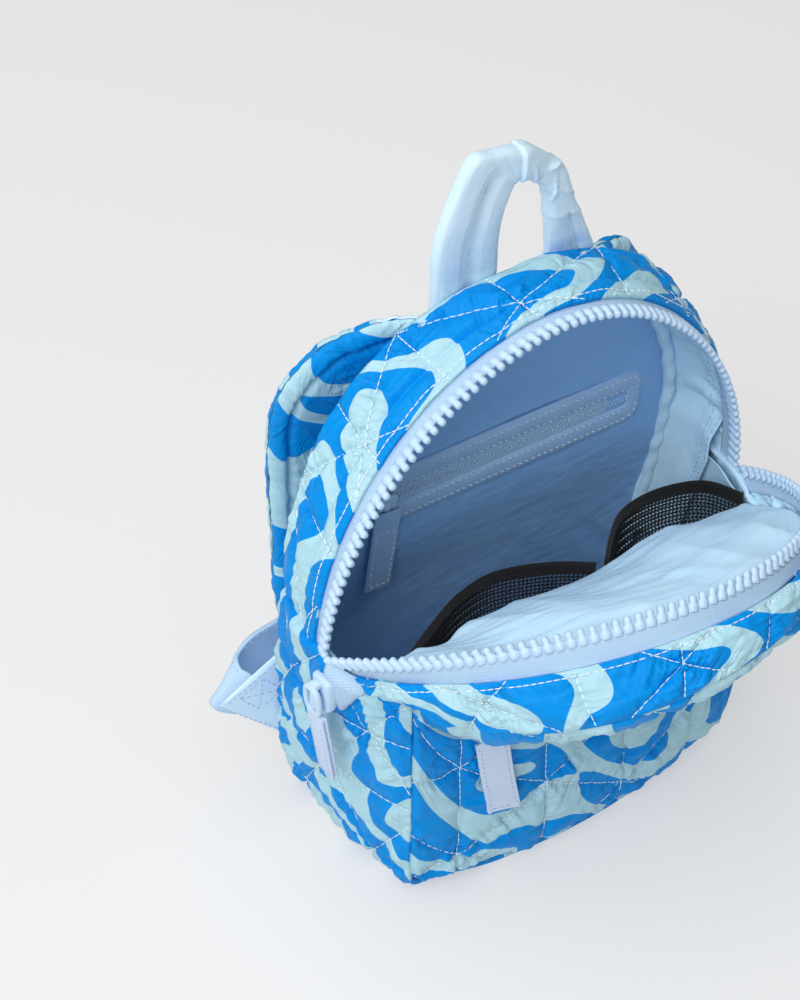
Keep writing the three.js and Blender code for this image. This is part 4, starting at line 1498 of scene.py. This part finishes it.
def ringTube(bm, points, radius, around=10):
    # a closed loop of wire through points
    count = len(points)
    rows = []
    for i, point in enumerate(points):
        run = (points[(i + 1) % count] - points[i - 1]).normalized()
        out = (point - sum(points, Vector()) / count).normalized()
        side = run.cross(out).normalized()
        rows.append((point, out, side))
    made = bmesh.ops.create_grid(bm, x_segments=count, y_segments=around, size=0.5)
    for vertex in made["verts"]:
        k = round((vertex.co.x + 0.5) * count) % count
        turn = 2 * pi * (vertex.co.y + 0.5)
        point, out, side = rows[k]
        vertex.co = point + (out * cos(turn) + side * sin(turn)) * radius
    bmesh.ops.remove_doubles(bm, verts=bm.verts, dist=0.002)
    bmesh.ops.recalc_face_normals(bm, faces=bm.faces)


slider = {"at": (-110.7, -20, 115), "ringAt": (-116, -20, 113), "tabAt": (-111.7, -21, 88),
          "tabTurn": (-0.02, -0.145, 0), "tabSeam": [(-3.8, 13), (-3.8, -16), (3.8, -16), (3.8, 13)]}


def makeSlider():
    bm = bmesh.new()
    x, y, z = slider["at"]
    roundedBlock(bm, (5.2, 11, 15.5), (x + 0.4, y, z), bevel=1.8, segments=4)
    roundedBlock(bm, (3.6, 4.4, 3.2), (x - 3.2, y, z + 5.4), bevel=1.2)
    roundedBlock(bm, (2.2, 4.4, 13), (x - 4.4, y, z + 0.4), bevel=1.0)
    roundedBlock(bm, (3.4, 4.4, 2.8), (x - 3.2, y, z - 4.8), bevel=1.1)
    addPiece("zip_slider_body", bm, ("plastic",), ["zip_slider"])
    bm = bmesh.new()
    middle = Vector(slider["ringAt"])
    points = []
    for i in range(36):
        turn = 2 * pi * i / 36
        w, h = signedPower(cos(turn), 0.7), signedPower(sin(turn), 0.7)
        points.append(middle + Vector((0.35 - 0.5 * h, 4.4 * w, 6.5 * h)))
    ringTube(bm, points, 1.35)
    addPiece("zip_pull_loop", bm, ("plastic",), ["zip_pull_ring"])


def makePullTab():
    bm = bmesh.new()
    for off, long in ((0.85, 35), (-0.85, 36)):
        roundedBlock(bm, (1.5, 10.5, long), (off, 0, (36 - long) / 2), bevel=0.6)
    roundedBlock(bm, (3.6, 10.3, 2.6), (0, 0, 16.9), bevel=1.2)
    place = turned(slider["tabAt"], slider["tabTurn"])
    bmesh.ops.transform(bm, matrix=place, verts=bm.verts)
    addPiece("zip_pull_leather", bm, ("leather",), ["zip_pull_tab"])
    seams = bmesh.new()
    for face in (1, -1):
        def spot(across, up):
            return place @ Vector((face * 1.62, across, up)), place.to_3x3() @ Vector((face, 0, 0))

        sewOutline(seams, slider["tabSeam"], 2.6, 0.72, spot, 0.25)
    addPiece("zip_pull_stitches", seams, ("paleThread",))


makeSlider()
makePullTab()
print("slider")


pocket = {"left": -70, "right": 76, "bottom": 142, "top": 170, "round": 7, "wall": 21.8, "lean": 0.045,
          "leanFrom": 150, "tapeIn": 7, "tape": 8.8, "coil": 1.5, "slot": 8.0, "slotEnd": 8.0,
          "seamRows": (-3.0, -8.6), "seamPitch": 3.2}
pocketPull = {"at": (-57, 2.9, -23.95), "turn": (0.03, 0.1, 0), "size": (12.5, 1.7, 40),
              "seam": [(-4.6, 10), (-4.6, -17.6), (4.6, -17.6), (4.6, 10), (-4.6, 10)]}


def pocketSpot(x, z, out):
    # a point on the pocket's plane, out of it towards the front
    lift, lean = z - pocket["leanFrom"], pocket["lean"]
    return Vector((x, pocket["wall"] - out - lift * sin(lean), pocket["leanFrom"] + lift * cos(lean)))


# from the outer edge to the slot: share of the way, and height
frameSteps = [(0, 0.0), (0.02, 0.9), (0.08, 1.3), (0.5, 1.45), (0.9, 1.3), (0.97, 0.9), (1, 0.1)]


def squareRim(turn):
    c, s = cos(turn), sin(turn)
    reach = max(abs(c), abs(s))
    return c / reach, s / reach


def makePocketFrame():
    left, right, bottom, top, r = (pocket[k] for k in ("left", "right", "bottom", "top", "round"))
    middle, centreX = 0.5 * (bottom + top), 0.5 * (left + right)
    half, inset = pocket["slot"] / 2, pocket["slotEnd"]

    def place(s, t):
        rim = squareRim(2 * pi * s + 0.02)
        outer = cornered(*rim, 0.5 * (right - left), 0.5 * (top - bottom), r)
        inner = cornered(*rim, 0.5 * (right - left) - inset, half, 1.6)
        share, out = frameSteps[round(t * (len(frameSteps) - 1))]
        x, z = lerp(outer[0], inner[0], share), lerp(outer[1], inner[1], share)
        return pocketSpot(centreX + x, middle + z, out)

    def flat(s, t):
        return 340 * s, 10 * t

    bm = layCloth(200, len(frameSteps) - 1, place, flat, smooth, behind)
    bmesh.ops.remove_doubles(bm, verts=bm.verts, dist=0.002)
    piece = addPiece("pocket_frame_leather", bm, ("pocketLeather",), ["inner_pocket_frame"])
    thicken(piece, 0.5)
    seams = bmesh.new()
    pitch = pocket["seamPitch"]
    for grow in pocket["seamRows"]:
        w, h = 0.5 * (right - left) + grow, 0.5 * (top - bottom) + grow * 0.98
        run = []
        for k in range(161):
            run.append(cornered(*squareRim(2 * pi * k / 160), w, h, max(r + grow, 1)))
        track = Track([pocketSpot(centreX + x, middle + z, 1.5) for x, z in run])
        for i in range(int(track.length / pitch)):
            ends = [(track.at((i * pitch + d) / track.length), Vector((0, -1, 0))) for d in (0, 2.3)]
            sewStitch(seams, *ends, 0.24, 0.08)
    addPiece("pocket_frame_stitches", seams, ("thread",))


def cornered(x, z, w, h, r):
    # the unit square's rim as a rounded rectangle of half sizes w and h
    px, pz = x * w, z * h
    cx, cz = w - r, h - r
    if abs(px) > cx and abs(pz) > cz:
        dx, dz = abs(px) - cx, abs(pz) - cz
        size = sqrt(dx * dx + dz * dz)
        px = (cx + dx / size * r) * (1 if px > 0 else -1)
        pz = (cz + dz / size * r) * (1 if pz > 0 else -1)
    return px, pz


def makePocketZip():
    left, right = pocket["left"] + pocket["tapeIn"], pocket["right"] - pocket["tapeIn"]
    middle = 0.5 * (pocket["bottom"] + pocket["top"])

    def place(s, t):
        return pocketSpot(lerp(left, right, s), middle + (t - 0.5) * pocket["tape"], 0.35)

    def flat(s, t):
        return s * (right - left), t * pocket["tape"]

    bm = layCloth(60, 10, place, flat, lambda s, t, u, v: 0.1 * ripple(u, v, 131.0, 9, 3), behind)
    piece = addPiece("pocket_zip_tape", bm, ("tape",), ["inner_pocket_zip"])
    thicken(piece, 0.4)
    coil = bmesh.new()
    count = int((right - left) / pocket["coil"])
    for i in range(count):
        x = lerp(left, right, (i + 0.5) / count)
        for side in (-1, 1):
            a = pocketSpot(x + 0.35 * side, middle + 0.15 * side, 0.75)
            b = pocketSpot(x + 0.35 * side, middle + 1.5 * side, 0.75)
            sewStitch(coil, (a, Vector((0, -1, 0))), (b, Vector((0, -1, 0))), 0.42, 0.1)
    addPiece("pocket_zip_coil", coil, ("plastic",))
    bm = bmesh.new()
    at = pocketSpot(-55, middle, 2.3)
    roundedBlock(bm, (9, 1.8, 6.4), at, (pocket["lean"], 0, 0), 0.7)
    roundedBlock(bm, (3, 1.8, 4.2), at + Vector((-1, -1.2, -0.4)), (pocket["lean"], 0, 0), 0.6)
    addPiece("pocket_slider_body", bm, ("plastic",), ["inner_pocket_slider"])
    makePocketPull(middle)


def makePocketPull(middle):
    x, off, up = pocketPull["at"]
    at = Vector((x, pocket["wall"] - off, middle + up))
    bm = bmesh.new()
    roundedBlock(bm, pocketPull["size"], at, pocketPull["turn"], 0.7)
    addPiece("pocket_pull_leather", bm, ("pocketLeather",), ["inner_pocket_pull"])
    place = turned(at, pocketPull["turn"])

    def spot(across, up):
        return place @ Vector((across, -0.88, up)), Vector((0, -1, 0))

    seams = bmesh.new()
    sewOutline(seams, pocketPull["seam"], 2.7, 0.7, spot, 0.24)
    addPiece("pocket_pull_stitches", seams, ("thread",))


makePocketFrame()
makePocketZip()
print("inner pocket")


label = {"x": -49.2, "bottom": 42.0, "top": 85.0, "width": 14.0, "lean": 0.18, "leanFrom": 57,
         "yaw": 0.29, "off": 4.2, "thick": 1.2, "round": 2.4, "columns": 28, "rows": 36, "liesTo": 72.0,
         "seamIn": 1.8}


def makeLabel():
    sheet = FrontSheet()

    def frontY(x, z):
        best = None
        for i in range(60):
            t = i / 59 * sheet.foldAt
            edge0, edge1 = sheet.place(0, t), sheet.place(1, t)
            point = sheet.place(clamp((x - edge0.x) / (edge1.x - edge0.x)), t)
            if best is None or abs(point.z - z) < abs(best.z - z):
                best = point
        return best.y

    depth = {}

    def place(s, t):
        row = round(t * label["rows"])
        if row not in depth:
            height = lerp(label["bottom"], label["top"], row / label["rows"])
            depth[row] = frontY(label["x"], min(height, label["liesTo"]))
        x, pz = cornered(2 * s - 1, 2 * t - 1, label["width"] / 2, 0.5 * (label["top"] - label["bottom"]),
                         label["round"])
        z = 0.5 * (label["top"] + label["bottom"]) + pz
        across = label["x"] + x * cos(label["yaw"]) - label["lean"] * (z - label["leanFrom"])
        return Vector((across, depth[row] - label["off"] - x * sin(label["yaw"]), z))

    def flat(s, t):
        return s * label["width"], t * (label["top"] - label["bottom"])

    def relief(s, t, u, v):
        return 0.2 * ripple(u, v, 141.0, 12, 14)

    bm = layCloth(label["columns"], label["rows"], place, flat, relief)
    sewing = SewingMap(bm)
    seams = bmesh.new()
    left, right, foot = label["seamIn"], label["width"] - label["seamIn"], 2
    head = label["top"] - label["bottom"]
    outline = [(left, head), (left, foot), (right, foot), (right, head)]
    for a, b in zip(outline, outline[1:]):
        sewAlong(seams, sewing, [a, b], 2.9, 2.1, 0.26, 0.06)
    piece = addPiece("label_tab_leather", bm, ("leather",), ["label_tab"])
    thicken(piece, label["thick"])
    edge = piece.modifiers.new("rounding", "BEVEL")
    edge.width = 0.4 * mm
    edge.segments = 2
    edge.limit_method = "ANGLE"
    addPiece("label_tab_stitches", seams, ("paleThread",))


makeLabel()
print("label")
